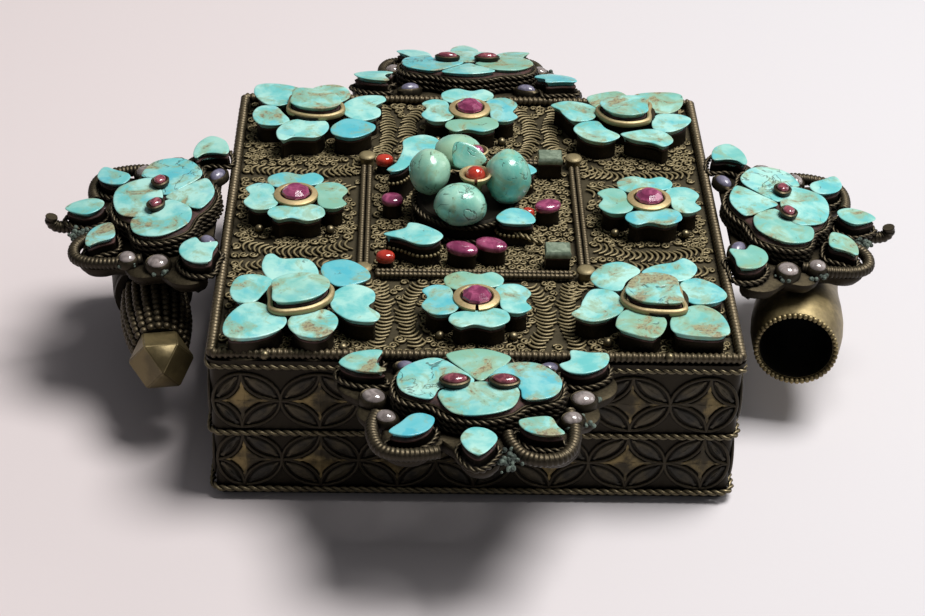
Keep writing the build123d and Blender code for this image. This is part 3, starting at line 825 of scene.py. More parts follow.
def solids(node: Object, axis: Vector = UP) -> list[Solid]:
    """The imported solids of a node.

    Args:
        node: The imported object, whose mesh is copied and left as it is.
        axis: The way the solids' upper faces point.

    Returns:
        One entry for each separate solid.
    """
    bm = bmesh.new()
    bm.from_mesh(node.data)
    bmesh.ops.remove_doubles(bm, verts=bm.verts, dist=1e-6)
    left, found = set(bm.verts), []
    while left:
        island, front = set(), [left.pop()]
        while front:
            vert = front.pop()
            island.add(vert)
            for edge in vert.link_edges:
                other = edge.other_vert(vert)
                if other in left:
                    left.discard(other)
                    front.append(other)
        points = [v.co / MM for v in island]
        caps = {f for v in island for f in v.link_faces if f.normal.dot(axis) > 0.985}
        rim = {e for f in caps for e in f.edges if sum(g in caps for g in e.link_faces) == 1}
        ring = [v.co / MM for v in max(edge_loops(rim), key=len, default=[])]
        area = sum((a.cross(b) for a, b in zip(ring, ring[1:] + ring[:1])), Vector()).dot(axis)
        if area < 0:
            ring.reverse()
        low = Vector([min(p[i] for p in points) for i in range(3)])
        high = Vector([max(p[i] for p in points) for i in range(3)])
        found.append(Solid(ring, low, high))
    bm.free()
    return sorted(found, key=lambda s: (round(s.centre.y, 2), round(s.centre.x, 2)))


class Tree:
    """A geometry tree with named inputs, built node by node."""

    def __init__(self, name: str, **inputs: float | int) -> None:
        """Starts a tree.

        Args:
            name: The tree's name.
            inputs: Its sizes and their first values.
        """
        self.group = bpy.data.node_groups.new(name, "GeometryNodeTree")
        face = self.group.interface
        face.new_socket("Geometry", in_out="OUTPUT", socket_type="NodeSocketGeometry")
        face.new_socket("Geometry", in_out="INPUT", socket_type="NodeSocketGeometry")
        for label, value in inputs.items():
            kind = "NodeSocketInt" if isinstance(value, int) else "NodeSocketFloat"
            face.new_socket(label, in_out="INPUT", socket_type=kind).default_value = value
        face.new_socket("Finish", in_out="INPUT", socket_type="NodeSocketMaterial")
        self.given = self.group.nodes.new("NodeGroupInput").outputs
        self.result = self.group.nodes.new("NodeGroupOutput").inputs

    def add(self, kind: str, feeds: dict | None = None, **settings: object) -> bpy.types.NodeOutputs:
        """Adds a node.

        Args:
            kind: The node's type name.
            feeds: Values or sockets for its inputs.
            settings: The node's own properties.

        Returns:
            The node's outputs.
        """
        node = self.group.nodes.new(kind)
        for key, value in settings.items():
            setattr(node, key, value)
        for key, value in (feeds or {}).items():
            if isinstance(value, Socket):
                self.group.links.new(value, node.inputs[key])
            else:
                node.inputs[key].default_value = value
        return node.outputs

    def math(self, operation: str, first: object, second: object = 0.0) -> Socket:
        """A sum of two numbers, of the named kind."""
        return self.add("ShaderNodeMath", {0: first, 1: second}, operation=operation)[0]

    def scaled(self, vector: object, factor: object) -> Socket:
        """A vector times a number."""
        return self.add("ShaderNodeVectorMath", {0: vector, "Scale": factor}, operation="SCALE")[0]

    def number(self, name: str) -> Socket:
        """The number that each point holds under a name."""
        return self.add("GeometryNodeInputNamedAttribute", {"Name": name}, data_type="FLOAT")["Attribute"]

    def path(self) -> Socket:
        """The given edges as curves."""
        return self.add("GeometryNodeMeshToCurve", {"Mesh": self.given["Geometry"]})[0]

    def upright(self, steps: float) -> Socket:
        """Walks the given edges in even steps, with their normals upright.

        Args:
            steps: How many steps go to a pitch.

        Returns:
            The curves.
        """
        step = self.math("DIVIDE", self.given["Pitch"], steps)
        even = self.add("GeometryNodeResampleCurve", {"Curve": self.path(), "Length": step}, mode="LENGTH")[0]
        return self.add("GeometryNodeSetCurveNormal", {"Curve": even}, mode="Z_UP")[0]

    def sweep(self, path: Socket, flats: object, radius: object, **feeds: object) -> Socket:
        """Runs a round section along curves.

        Args:
            path: The curves.
            flats: How many sides the section has.
            radius: Its radius, in metres.
            feeds: More inputs of the sweep.

        Returns:
            The faces.
        """
        section = self.add("GeometryNodeCurvePrimitiveCircle", {"Resolution": flats, "Radius": radius})[0]
        inputs = {"Curve": path, "Profile Curve": section, "Fill Caps": True, **feeds}
        return self.add("GeometryNodeCurveToMesh", inputs)[0]

    def scatter(self, points: object, form: object, **feeds: object) -> Tree:
        """Ends the tree in copies of a form on points."""
        inputs = {"Points": points, "Instance": form, **feeds}
        return self.close(self.add("GeometryNodeInstanceOnPoints", inputs)[0])

    def close(self, geometry: Socket) -> Tree:
        """Ends the tree in real, smooth faces with a finish.

        Args:
            geometry: The faces.

        Returns:
            The tree.
        """
        smooth = self.add("GeometryNodeSetShadeSmooth", {"Geometry": geometry})[0]
        real = self.add("GeometryNodeRealizeInstances", {"Geometry": smooth})[0]
        dressed = self.add("GeometryNodeSetMaterial", {"Geometry": real, "Material": self.given["Finish"]})[0]
        self.group.links.new(dressed, self.result["Geometry"])
        return self

    def grow(self, name: str, base: Object, finish: Material, **sizes: float) -> Object:
        """Runs the tree on an object and keeps the result as a plain mesh.

        Args:
            name: The new piece's name.
            base: The paths, points or forms that the tree works on, used up by it.
            finish: The piece's material.
            sizes: The tree's inputs, lengths in metres.

        Returns:
            The new piece.
        """
        modifier = base.modifiers.new(name, "NODES")
        modifier.node_group = self.group
        wanted = {**sizes, "Finish": finish}
        for item in self.group.interface.items_tree:
            if item.in_out == "INPUT" and item.name in wanted:
                modifier[item.identifier] = wanted[item.name]
        graph = bpy.context.evaluated_depsgraph_get()
        mesh = bpy.data.meshes.new_from_object(base.evaluated_get(graph), depsgraph=graph)
        mesh.name = name
        base.modifiers.remove(modifier)
        bpy.data.objects.remove(base)
        return link(bpy.data.objects.new(name, mesh))


def rope_tree() -> Tree:
    """Strands laid round a path, with whole turns on a closed one.

    Returns:
        The tree.
    """
    tree = Tree("twisted_rope", Lay=0.0003, Strand=0.0003, Pitch=0.003, Strands=2)
    strands = {"Geometry": tree.upright(9.0), "Amount": tree.given["Strands"]}
    copies = tree.add("GeometryNodeDuplicateElements", strands, domain="SPLINE")
    length = tree.add("GeometryNodeSplineLength")["Length"]
    turns = tree.math("ROUND", tree.math("DIVIDE", length, tree.given["Pitch"]))
    share = tree.add("GeometryNodeSplineParameter")["Factor"]
    phase = tree.math("DIVIDE", copies["Duplicate Index"], tree.given["Strands"])
    angle = tree.math("MULTIPLY", tree.math("ADD", tree.math("MULTIPLY", turns, share), phase), math.tau)
    normal = tree.add("GeometryNodeInputNormal")["Normal"]
    tangent = tree.add("GeometryNodeInputTangent")["Tangent"]
    side = tree.add("ShaderNodeVectorMath", {0: tangent, 1: normal}, operation="CROSS_PRODUCT")[0]
    first = tree.scaled(normal, tree.math("COSINE", angle))
    second = tree.scaled(side, tree.math("SINE", angle))
    lay = tree.add("ShaderNodeVectorMath", {0: first, 1: second}, operation="ADD")[0]
    offset = tree.scaled(lay, tree.given["Lay"])
    laid = tree.add("GeometryNodeSetPosition", {"Geometry": copies["Geometry"], "Offset": offset})[0]
    return tree.close(tree.sweep(laid, 6, tree.given["Strand"]))


def coil_tree() -> Tree:
    """A rod wrapped in wire, as ribs along a path.

    Returns:
        The tree.
    """
    tree = Tree("wrapped_rod", Radius=0.001, Pitch=0.001, Depth=0.2)
    along = tree.add("GeometryNodeSplineParameter")["Length"]
    wave = tree.math("SINE", tree.math("MULTIPLY", tree.math("DIVIDE", along, tree.given["Pitch"]), math.pi))
    dip = tree.math("SUBTRACT", 1.0, tree.math("ABSOLUTE", wave))
    swell = tree.math("SUBTRACT", 1.0, tree.math("MULTIPLY", dip, tree.given["Depth"]))
    return tree.close(tree.sweep(tree.upright(5.0), 12, tree.given["Radius"], Scale=swell))


def wire_tree() -> Tree:
    """Plain wire along a path, thinner at its ends by a share.

    Returns:
        The tree.
    """
    tree = Tree("wire", Radius=0.0003, Taper=0.0, Flats=6)
    share = tree.add("GeometryNodeSplineParameter")["Factor"]
    bulge = tree.math("SINE", tree.math("MULTIPLY", share, math.pi))
    thin = tree.math("MULTIPLY", tree.math("SUBTRACT", 1.0, bulge), tree.given["Taper"])
    scale = tree.math("SUBTRACT", 1.0, thin)
    return tree.close(tree.sweep(tree.path(), tree.given["Flats"], tree.given["Radius"], Scale=scale))


def bead_tree() -> Tree:
    """Beads at even steps along a path.

    Returns:
        The tree.
    """
    tree = Tree("beaded_wire", Radius=0.0005, Spacing=0.001)
    run = {"Curve": tree.path(), "Length": tree.given["Spacing"]}
    spots = tree.add("GeometryNodeCurveToPoints", run, mode="LENGTH")["Points"]
    bead = tree.add("GeometryNodeMeshIcoSphere", {"Radius": tree.given["Radius"], "Subdivisions": 2})[0]
    return tree.scatter(spots, bead)


def grain_tree() -> Tree:
    """Granules on points, each with the size that its point holds.

    Returns:
        The tree.
    """
    tree = Tree("granules", Radius=0.001, Level=2)
    spots = tree.add("GeometryNodeMeshToPoints", {"Mesh": tree.given["Geometry"]})[0]
    ball = {"Radius": tree.given["Radius"], "Subdivisions": tree.given["Level"]}
    return tree.scatter(spots, tree.add("GeometryNodeMeshIcoSphere", ball)[0], Scale=tree.number("size"))


def curl_tree() -> Tree:
    """Spirals of wire on points, turned and sized as the points say, and turned over for a size below 0.

    Returns:
        The tree.
    """
    tree = Tree("filigree_curls", Radius=0.0003, Reach=0.001, Turns=1.35)
    spots = tree.add("GeometryNodeMeshToPoints", {"Mesh": tree.given["Geometry"]})[0]
    size, reach = tree.number("size"), tree.given["Reach"]
    ends = {"Start Radius": tree.math("MULTIPLY", reach, 0.22), "End Radius": reach, "Height": 0.0}
    turns = {"Resolution": 8, "Rotations": tree.given["Turns"]}
    wire = tree.sweep(tree.add("GeometryNodeCurveSpiral", turns | ends)[0], 4, tree.given["Radius"])
    over = tree.math("MULTIPLY", tree.math("LESS_THAN", size, 0.0), math.pi)
    euler = tree.add("ShaderNodeCombineXYZ", {"X": over, "Z": tree.number("turn")})[0]
    rotation = tree.add("FunctionNodeEulerToRotation", {"Euler": euler})[0]
    return tree.scatter(spots, wire, Rotation=rotation, Scale=tree.math("ABSOLUTE", size))


def four_walls_tree() -> Tree:
    """One wall's work repeated on all four walls.

    Returns:
        The tree.
    """
    tree = Tree("four_walls", Walls=4)
    line = {"Count": tree.given["Walls"], "Offset": (0.0, 0.0, 0.0)}
    spots = tree.add("GeometryNodeMeshLine", line)[0]
    index = tree.add("GeometryNodeInputIndex")[0]
    turn = tree.math("DIVIDE", tree.math("MULTIPLY", index, math.tau), tree.given["Walls"])
    euler = tree.add("ShaderNodeCombineXYZ", {"Z": turn})[0]
    rotation = tree.add("FunctionNodeEulerToRotation", {"Euler": euler})[0]
    return tree.scatter(spots, tree.given["Geometry"], Rotation=rotation)


class Trees:
    """Every geometry tree of the box, made once."""

    def __init__(self) -> None:
        """Builds the trees."""
        self.rope = rope_tree()
        self.coil = coil_tree()
        self.wire = wire_tree()
        self.bead = bead_tree()
        self.grain = grain_tree()
        self.curl = curl_tree()
        self.walls = four_walls_tree()


@dataclass(frozen=True)
class Path:
    """A run of points that wire or beads follow."""

    points: Ring
    closed: bool = False


def path_object(paths: Sequence[Path]) -> Object:
    """Lays paths out as the edges of one object, in metres.

    Args:
        paths: The paths.

    Returns:
        The object.
    """
    points, edges = [], []
    for path in paths:
        first = len(points)
        points += [point * MM for point in path.points]
        last = len(points) - 1
        edges += [(i, i + 1) for i in range(first, last)]
        if path.closed:
            edges.append((last, first))
    mesh = bpy.data.meshes.new("paths")
    mesh.from_pydata(points, edges, [])
    return link(bpy.data.objects.new("paths", mesh))


def spot_object(spots: Sequence[Vector], **values: Sequence[float]) -> Object:
    """Lays out loose points with named numbers on them, in metres.

    Args:
        spots: The points.
        values: The numbers, one for each point.

    Returns:
        The object.
    """
    mesh = bpy.data.meshes.new("spots")
    mesh.from_pydata([spot * MM for spot in spots], [], [])
    for name, numbers in values.items():
        mesh.attributes.new(name, "FLOAT", "POINT").data.foreach_set("value", list(numbers))
    return link(bpy.data.objects.new("spots", mesh))


@dataclass(frozen=True)
class Lay:
    """How a twisted wire is made."""

    radius: float
    pitch: float
    strands: int = 2

    def run(
        self, bench: Bench, paths: Sequence[Path], name: str, kind: Finish, *nodes: str,
        body: Body = Body.COVER,
    ) -> None:
        """Twists wire along paths.

        Args:
            bench: Takes the wire.
            paths: The paths.
            name: The piece's name.
            kind: Its finish.
            nodes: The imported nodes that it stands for.
            body: The body it moves with.
        """
        sizes = {"Lay": 0.47 * self.radius * MM, "Strand": 0.53 * self.radius * MM, "Pitch": self.pitch * MM}
        sizes["Strands"] = self.strands
        bench.grow(bench.trees.rope, path_object(paths), name, kind, Slot.WIRE, *nodes, body=body, **sizes)


@dataclass(frozen=True)
class Slab:
    """A flat stone: a given outline, and how green, earthy and veined the stone is."""

    outline: Outline
    green: float = 0.3
    earth: float = 0.4
    veins: float = 0.0

    def tint(self, point: Vector) -> Tint:
        """The stone's tint at its place."""
        return (self.green, random.Random(seed_at(point)).random(), self.earth, self.veins)


@dataclass
class Girdle:
    """A closed outline, counterclockwise about the way its upper face points."""

    ring: Ring
    axis: Vector

    @classmethod
    def through(cls, outline: Section, place: Matrix, count: int = 56) -> Girdle:
        """A smooth outline through points that a frame lays down.

        Args:
            outline: The points, in the frame's own plane.
            place: The frame, in millimetres.
            count: How many even steps to take round it.

        Returns:
            The girdle.
        """
        axis = (place.to_3x3() @ UP).normalized()
        ring = spaced(curve([place @ Vector((x, y, 0)) for x, y in outline], True), count)
        turn = sum((a.cross(b) for a, b in zip(ring, ring[1:] + ring[:1])), Vector()).dot(axis)
        return cls(ring if turn > 0 else ring[::-1], axis)

    @property
    def centre(self) -> Vector:
        """The middle of the outline."""
        return middle(self.ring)

    def at(self, inset: float, lift: float = 0.0) -> Ring:
        """The outline drawn in and raised."""
        return drawn_in(self.ring, self.axis, inset, lift)

    def walls(self, section: Section) -> list[Ring]:
        """The outline at each inset and lift of a section."""
        return [self.at(inset, lift) for inset, lift in section]

    def dome(self, height: float, low: float = 0.0) -> list[Ring]:
        """A cabochon over the outline.

        Args:
            height: From the outline to the top.
            low: The lift of the lower edge.

        Returns:
            The cabochon's rings.
        """
        centre, rings = self.centre, [self.at(0.12, low), self.at(0.0, low + 0.15)]
        for share, rise in ((1.0, 0.3), (0.95, 0.52), (0.84, 0.73), (0.66, 0.88), (0.42, 0.97), (0.2, 1.0)):
            rings.append([centre.lerp(p, share) + self.axis * height * rise for p in self.ring])
        return [*rings, [centre + self.axis * height]]


@dataclass(frozen=True)
class Cut:
    """How flat stones are ground and set."""

    thick: float = 1.5
    bevel: float = 0.14
    lean: float = 0.03

    def grind(self, shape: Shape, girdle: Girdle, tint: Tint) -> None:
        """Adds a stone, undercut below, with a worn edge and a flat top that leans a little.

        Args:
            shape: Takes the stone.
            girdle: Its outline.
            tint: Its tint.
        """
        rng = random.Random(seed_at(girdle.centre))
        lean = Vector((rng.uniform(-1, 1), rng.uniform(-1, 1), 0)) * self.lean
        low, edge = -self.thick, self.bevel
        flank = ((0.95, low), (0.7, 0.62 * low), (0.3, 0.3 * low), (0.0, -edge))
        rings = girdle.walls((*flank, (0.3 * edge, -0.3 * edge), (edge, 0.0), (edge + 0.3, 0.02)))
        centre, axis = girdle.centre, girdle.axis
        shape.loft([[p + axis * (p - centre).dot(lean) for p in ring] for ring in rings], tint)

    def seat(self, collets: Shape, mastic: Shape, girdle: Girdle, drop: float, overhang: float) -> None:
        """Adds the collet under a stone and the mastic between them.

        Args:
            collets: Takes the collet.
            mastic: Takes the mastic.
            girdle: The stone's outline.
            drop: From the stone's underside down to what the collet stands on.
            overhang: How far the stone stands out over the collet.
        """
        low, foot, lip = -self.thick, -self.thick - drop, overhang - 0.12
        base = ((0.25, foot), (0.2, foot + 0.3), (overhang - 0.1, foot + 0.55))
        collets.loft(girdle.walls((*base, (overhang, low - 0.3), (lip, low))))
        bed = ((overhang + 0.1, low - 0.4), (lip, low - 0.1), (lip, low + 0.1), (overhang + 0.2, low + 0.3))
        mastic.loft(girdle.walls(bed))


LEFT_CORNER = (
    Slab(((-4, 3), (-6.2, 7), (-5.8, 11), (-4.6, 11.6), (-3, 10.1), (1.5, 10), (3.5, 6.5), (3, 3),
          (0, 2)), 0.3, 0.3),
    Slab(((3.9, 6.7), (4.6, 8.9), (8.3, 10), (12, 6.8), (12.2, 4), (7.2, 1.8), (4.7, 4.2)), 0.0, 0.4),
    Slab(((-11.2, 0), (-10, 4.2), (-6.6, 4.9), (-4, 3), (-5.3, -0.3), (-7, -3.3), (-9.9, -3.2)), 0.3, 0.45),
    Slab(((-11.4, -9.3), (-8.8, -4.3), (-6, -3.6), (-1.3, -7.8), (-2, -11.1), (-6.3, -13.8),
          (-10.9, -13.6)), 0.25, 0.55),
    Slab(((-1, -9.5), (0, -7), (4.8, -5.2), (7.3, -8), (6.5, -12.2), (4, -13.9), (0.5, -12.8)), 0.35, 0.75),
    Slab(((5.9, -3.8), (6.5, 0), (9.5, 2.4), (13, 0.5), (13.3, -2.6), (12.3, -4.2), (14.3, -6.8),
          (13.5, -8.8), (9.5, -8.5), (7, -6.3)), 0.3, 0.3),
    Slab(((-3.9, -0.3), (-3.8, -3.5), (-3.5, -6.4), (-1.5, -7), (2.9, -5.7), (5.4, -3), (5.6, 0), (3, 2),
          (-1, 1.8)), 0.6, 0.6),
)
RIGHT_CORNER = (
    Slab(((-10.8, 5.5), (-8.5, 9.4), (-5, 10.4), (-2, 7.5), (-4.6, 4.3), (-6, 1.3), (-9.5, 2.4)), 0.3, 0.5),
    Slab(((-1.9, 6.9), (0.5, 9.3), (4, 10.6), (6, 12.1), (8, 9.5), (6.8, 6), (4.2, 4.5),
          (0, 5.7)), 0.25, 0.4),
    Slab(((4.5, 3.8), (7.2, 5.7), (10.5, 3.7), (12.2, 0), (10, -2.2), (5.7, -2.1)), 0.2, 0.5),
    Slab(((1.7, -8), (3.2, -4.7), (7.3, -2.5), (10.5, -5.2), (11.4, -11), (9, -12.4),
          (2.3, -11.2)), 0.65, 0.75),
    Slab(((-7.5, -9), (-6, -5), (-3, -4.5), (1, -7), (0.3, -11), (-1.5, -12.6), (-6.5, -10.6)), 0.8, 0.6),
    Slab(((-12.6, -1.9), (-10.7, 1.5), (-7, 0.8), (-5.7, -3.8), (-7.5, -6.5), (-11.5, -7.9), (-14.7, -5.8),
          (-13.1, -3.8)), 0.35, 0.6),
    Slab(((-5.5, -1.8), (-3.5, 2.2), (0, 3.4), (3.4, 1.8), (3.8, -2), (4, -5.4), (-2, -5.5),
          (-4.6, -4)), 0.3, 0.85, 0.5),
)
KIDNEY = ((-8.4, 2.6), (-6.6, 4.3), (-4.6, 4), (-3.7, 2.6), (-3.5, 0), (-2.8, -2.7), (-4, -4.6),
          (-6.7, -4.8), (-8.5, -2.2), (-7.6, 0.5))
KIDNEYS = tuple(Slab(KIDNEY, *looks) for looks in ((0.1, 0.5), (0.45, 0.4), (0.25, 0.45), (0.9, 0.3)))
DISH_STONES = (
    Slab(((-13.3, -10.1), (-12.2, -6.8), (-8.6, -4.3), (-6.2, -4.2), (-3.8, -6.2), (-0.7, -10.2),
          (-3.3, -11.9), (-6.3, -12.4), (-7.8, -15.3), (-12.2, -13.6)), earth=0.5, veins=0.95),
    Slab(((-5.3, -3.3), (-3.1, -1.9), (0, -1.2), (2.9, -1.8), (5.4, -3.6), (1.8, -8.5), (0.2, -10.1),
          (-2.6, -7.2)), earth=0.45),
    Slab(((1.6, -9.3), (4.4, -5.5), (7.3, -4.7), (10.3, -5.4), (13.2, -9.3), (12.9, -12.9), (11, -15),
          (7, -15.4), (6.4, -12.3), (3.4, -10.9)), earth=0.6),
    Slab(((-6.7, -14.3), (-5.9, -12.6), (-0.3, -10.6), (2.6, -11.1), (5.8, -12), (6.4, -14.3), (4.8, -18),
          (-0.5, -19.7), (-4.5, -18.8)), earth=0.6),
)
LOBE_STONES = (
    Slab(((-22.8, -3.8), (-20.5, -0.8), (-15.8, -0.1), (-16.5, -3.1), (-16.3, -4.7), (-14.9, -6),
          (-16.6, -6.7), (-20.5, -6)), earth=0.4),
    Slab(((13.3, -3.7), (15.2, -2.4), (15.4, 0.4), (18.5, -0.2), (21.5, -0.6), (21, -4), (17.8, -6.2),
          (14.8, -5.9)), earth=0.2),
    Slab(((-14.4, -23.2), (-12.6, -20.5), (-10.9, -18.2), (-9.1, -17.7), (-7.2, -19), (-8.3, -22.4),
          (-11.2, -24.1)), earth=0.2),
    Slab(((6.1, -19.6), (8.8, -18.5), (11.2, -18.5), (12.2, -21), (13.2, -23), (9.8, -23.5),
          (7, -22.2)), earth=0.75),
    Slab(((-3.2, -24.2), (-1.6, -21.7), (1, -22), (2.6, -24.3), (1.1, -27.5), (-0.4, -28.7),
          (-2.2, -27.4)), earth=0.45),
)
DISH_HALF = ((0, -0.9), (4.2, -2), (6.5, -3.7), (11.5, -5.3), (13.5, -9.8), (12.4, -14), (7.5, -15.9),
             (5, -18.3), (0, -19.6))
WING_LOOPS = (
    ((-16.4, -14.1), (-17.1, -17.1), (-16.9, -20.5), (-15.7, -23.7), (-13.2, -25), (-9.5, -25),
     (-6.5, -24.2)),
    ((4.4, -19.2), (4.9, -21.6), (6.7, -25), (9.5, -26.2), (12.7, -25.4), (14.6, -22.4), (15.2, -17),
     (14.6, -13.4)),
)
WINGS = (  # side, hand and how green the stones are, petals first
    (Side.FRONT, 1, (0.3, 1.0, 0.1, 0.5, 0.6, 0.25, 0.0, 0.35, 0.35)),
    (Side.RIGHT, -1, (0.3, 0.3, 0.75, 0.3, 0.6, 0.95, 0.25, 0.6, 0.6)),
    (Side.BACK, -1, (0.1, 0.3, 0.8, 0.4, 0.4, 0.1, 0.2, 0.3, 0.6)),
    (Side.LEFT, 1, (0.15, 0.3, 0.4, 0.3, 0.6, 0.3, 0.15, 0.1, 0.5)),
)
LEAF_STONES = (  # with the height of a stone's top
    (34.4, Slab(((6.5, 11.6), (8, 12.8), (10.4, 11.8), (12, 9.4), (10.6, 8), (8, 8.4)), 0.2, 0.2)),
    (34.4, Slab(((-16, -13.1), (-12.2, -11.2), (-11.5, -9.5), (-8.8, -10.3), (-5.5, -13.5), (-7, -16),
                 (-9.8, -16.4), (-13, -14.5)), 0.2, 0.15)),
    (34.4, Slab(((4, -7.1), (6.5, -4), (9.3, -4.5), (11, -7.5), (10.4, -9.2), (5.2, -9.1)), 0.15, 0.4)),
    (36.5, Slab(((-15.7, 5.4), (-14, 8), (-12.8, 13), (-12.6, 16.5), (-9, 18.6), (-6.2, 17), (-6.5, 14),
                 (-10, 10.5), (-12.4, 6), (-14.4, 4.8)), 0.25, 0.2)),
)


@dataclass
class Part:
    """A sub-assembly of the box, with the bench that it is made on."""

    bench: Bench

    def build(self) -> None:
        """Makes every piece of the sub-assembly."""
        raise NotImplementedError


@dataclass(frozen=True)
class Lamp:
    """A soft round lamp that faces the box: place and width in metres, power in watts, and colour."""

    name: str
    at: Triple
    size: float
    watts: float
    colour: Colour

    def hang(self) -> None:
        """Hangs the lamp."""
        data = bpy.data.lights.new(self.name, "AREA")
        data.shape, data.size, data.energy, data.color = "DISK", self.size, self.watts, self.colour
        lamp = link(bpy.data.objects.new(self.name, data))
        lamp.location = self.at
        lamp.rotation_euler = (Vector((0, 0, 0.02)) - Vector(self.at)).to_track_quat("-Z", "Y").to_euler()


@dataclass
class Studio(Part):
    """Camera, light and floor."""

    camera_at: Triple = (-12.2128, -347.599, 242.9134)
    yaw: float = 1.79972  # in degrees, as are pitch and roll
    pitch: float = 33.8205
    roll: float = -1.678317
    lens: float = 87.077
    film: float = 36.0
    sky: Colour = (0.95, 0.96, 1.0)
    glow: float = 0.12  # strength of the sky
    floor: float = 2.0  # half the floor's side, in metres
    lamps: tuple[Lamp, ...] = (
        Lamp("ceiling", (0.32, 0.03, 0.86), 0.46, 9.4, (1.0, 0.985, 0.97)),
        Lamp("window", (0.85, 0.25, 0.42), 0.5, 1.5, (1.0, 0.98, 0.97)),
    )

    def camera(self) -> None:
        """Stands the camera where the photograph was taken."""
        yaw, pitch, roll = (math.radians(a) for a in (self.yaw, self.pitch, self.roll))
        ahead = Vector((math.sin(yaw) * math.cos(pitch), math.cos(yaw) * math.cos(pitch), -math.sin(pitch)))
        right = Vector((math.cos(yaw), -math.sin(yaw), 0.0))
        down = ahead.cross(right)
        across = right * math.cos(roll) + down * math.sin(roll)
        below = down * math.cos(roll) - right * math.sin(roll)
        data = bpy.data.cameras.new("camera")
        data.lens, data.sensor_width, data.clip_start = self.lens, self.film, 0.01
        data.dof.use_dof = False
        eye = link(bpy.data.objects.new("camera", data))
        turn = Matrix((across, -below, -ahead)).transposed().to_4x4()
        eye.matrix_world = Matrix.Translation(Vector(self.camera_at) * MM) @ turn
        bpy.context.scene.camera = eye

    def build(self) -> None:
        """Sets the stage."""
        self.camera()
        scene = bpy.context.scene
        scene.view_settings.view_transform = "Standard"
        scene.world = bpy.data.worlds.new("room")
        scene.world.use_nodes = True
        room = scene.world.node_tree.nodes["Background"].inputs
        room["Color"].default_value = (*self.sky, 1.0)
        room["Strength"].default_value = self.glow
        for lamp in self.lamps:
            lamp.hang()
        mesh = bpy.data.meshes.new("floor")
        mesh.from_pydata([(x * self.floor, y * self.floor, 0) for x, y in QUADRANTS], [], [(0, 1, 2, 3)])
        mesh.materials.append(self.bench.finish(Finish.FLOOR))
        link(bpy.data.objects.new("floor", mesh))


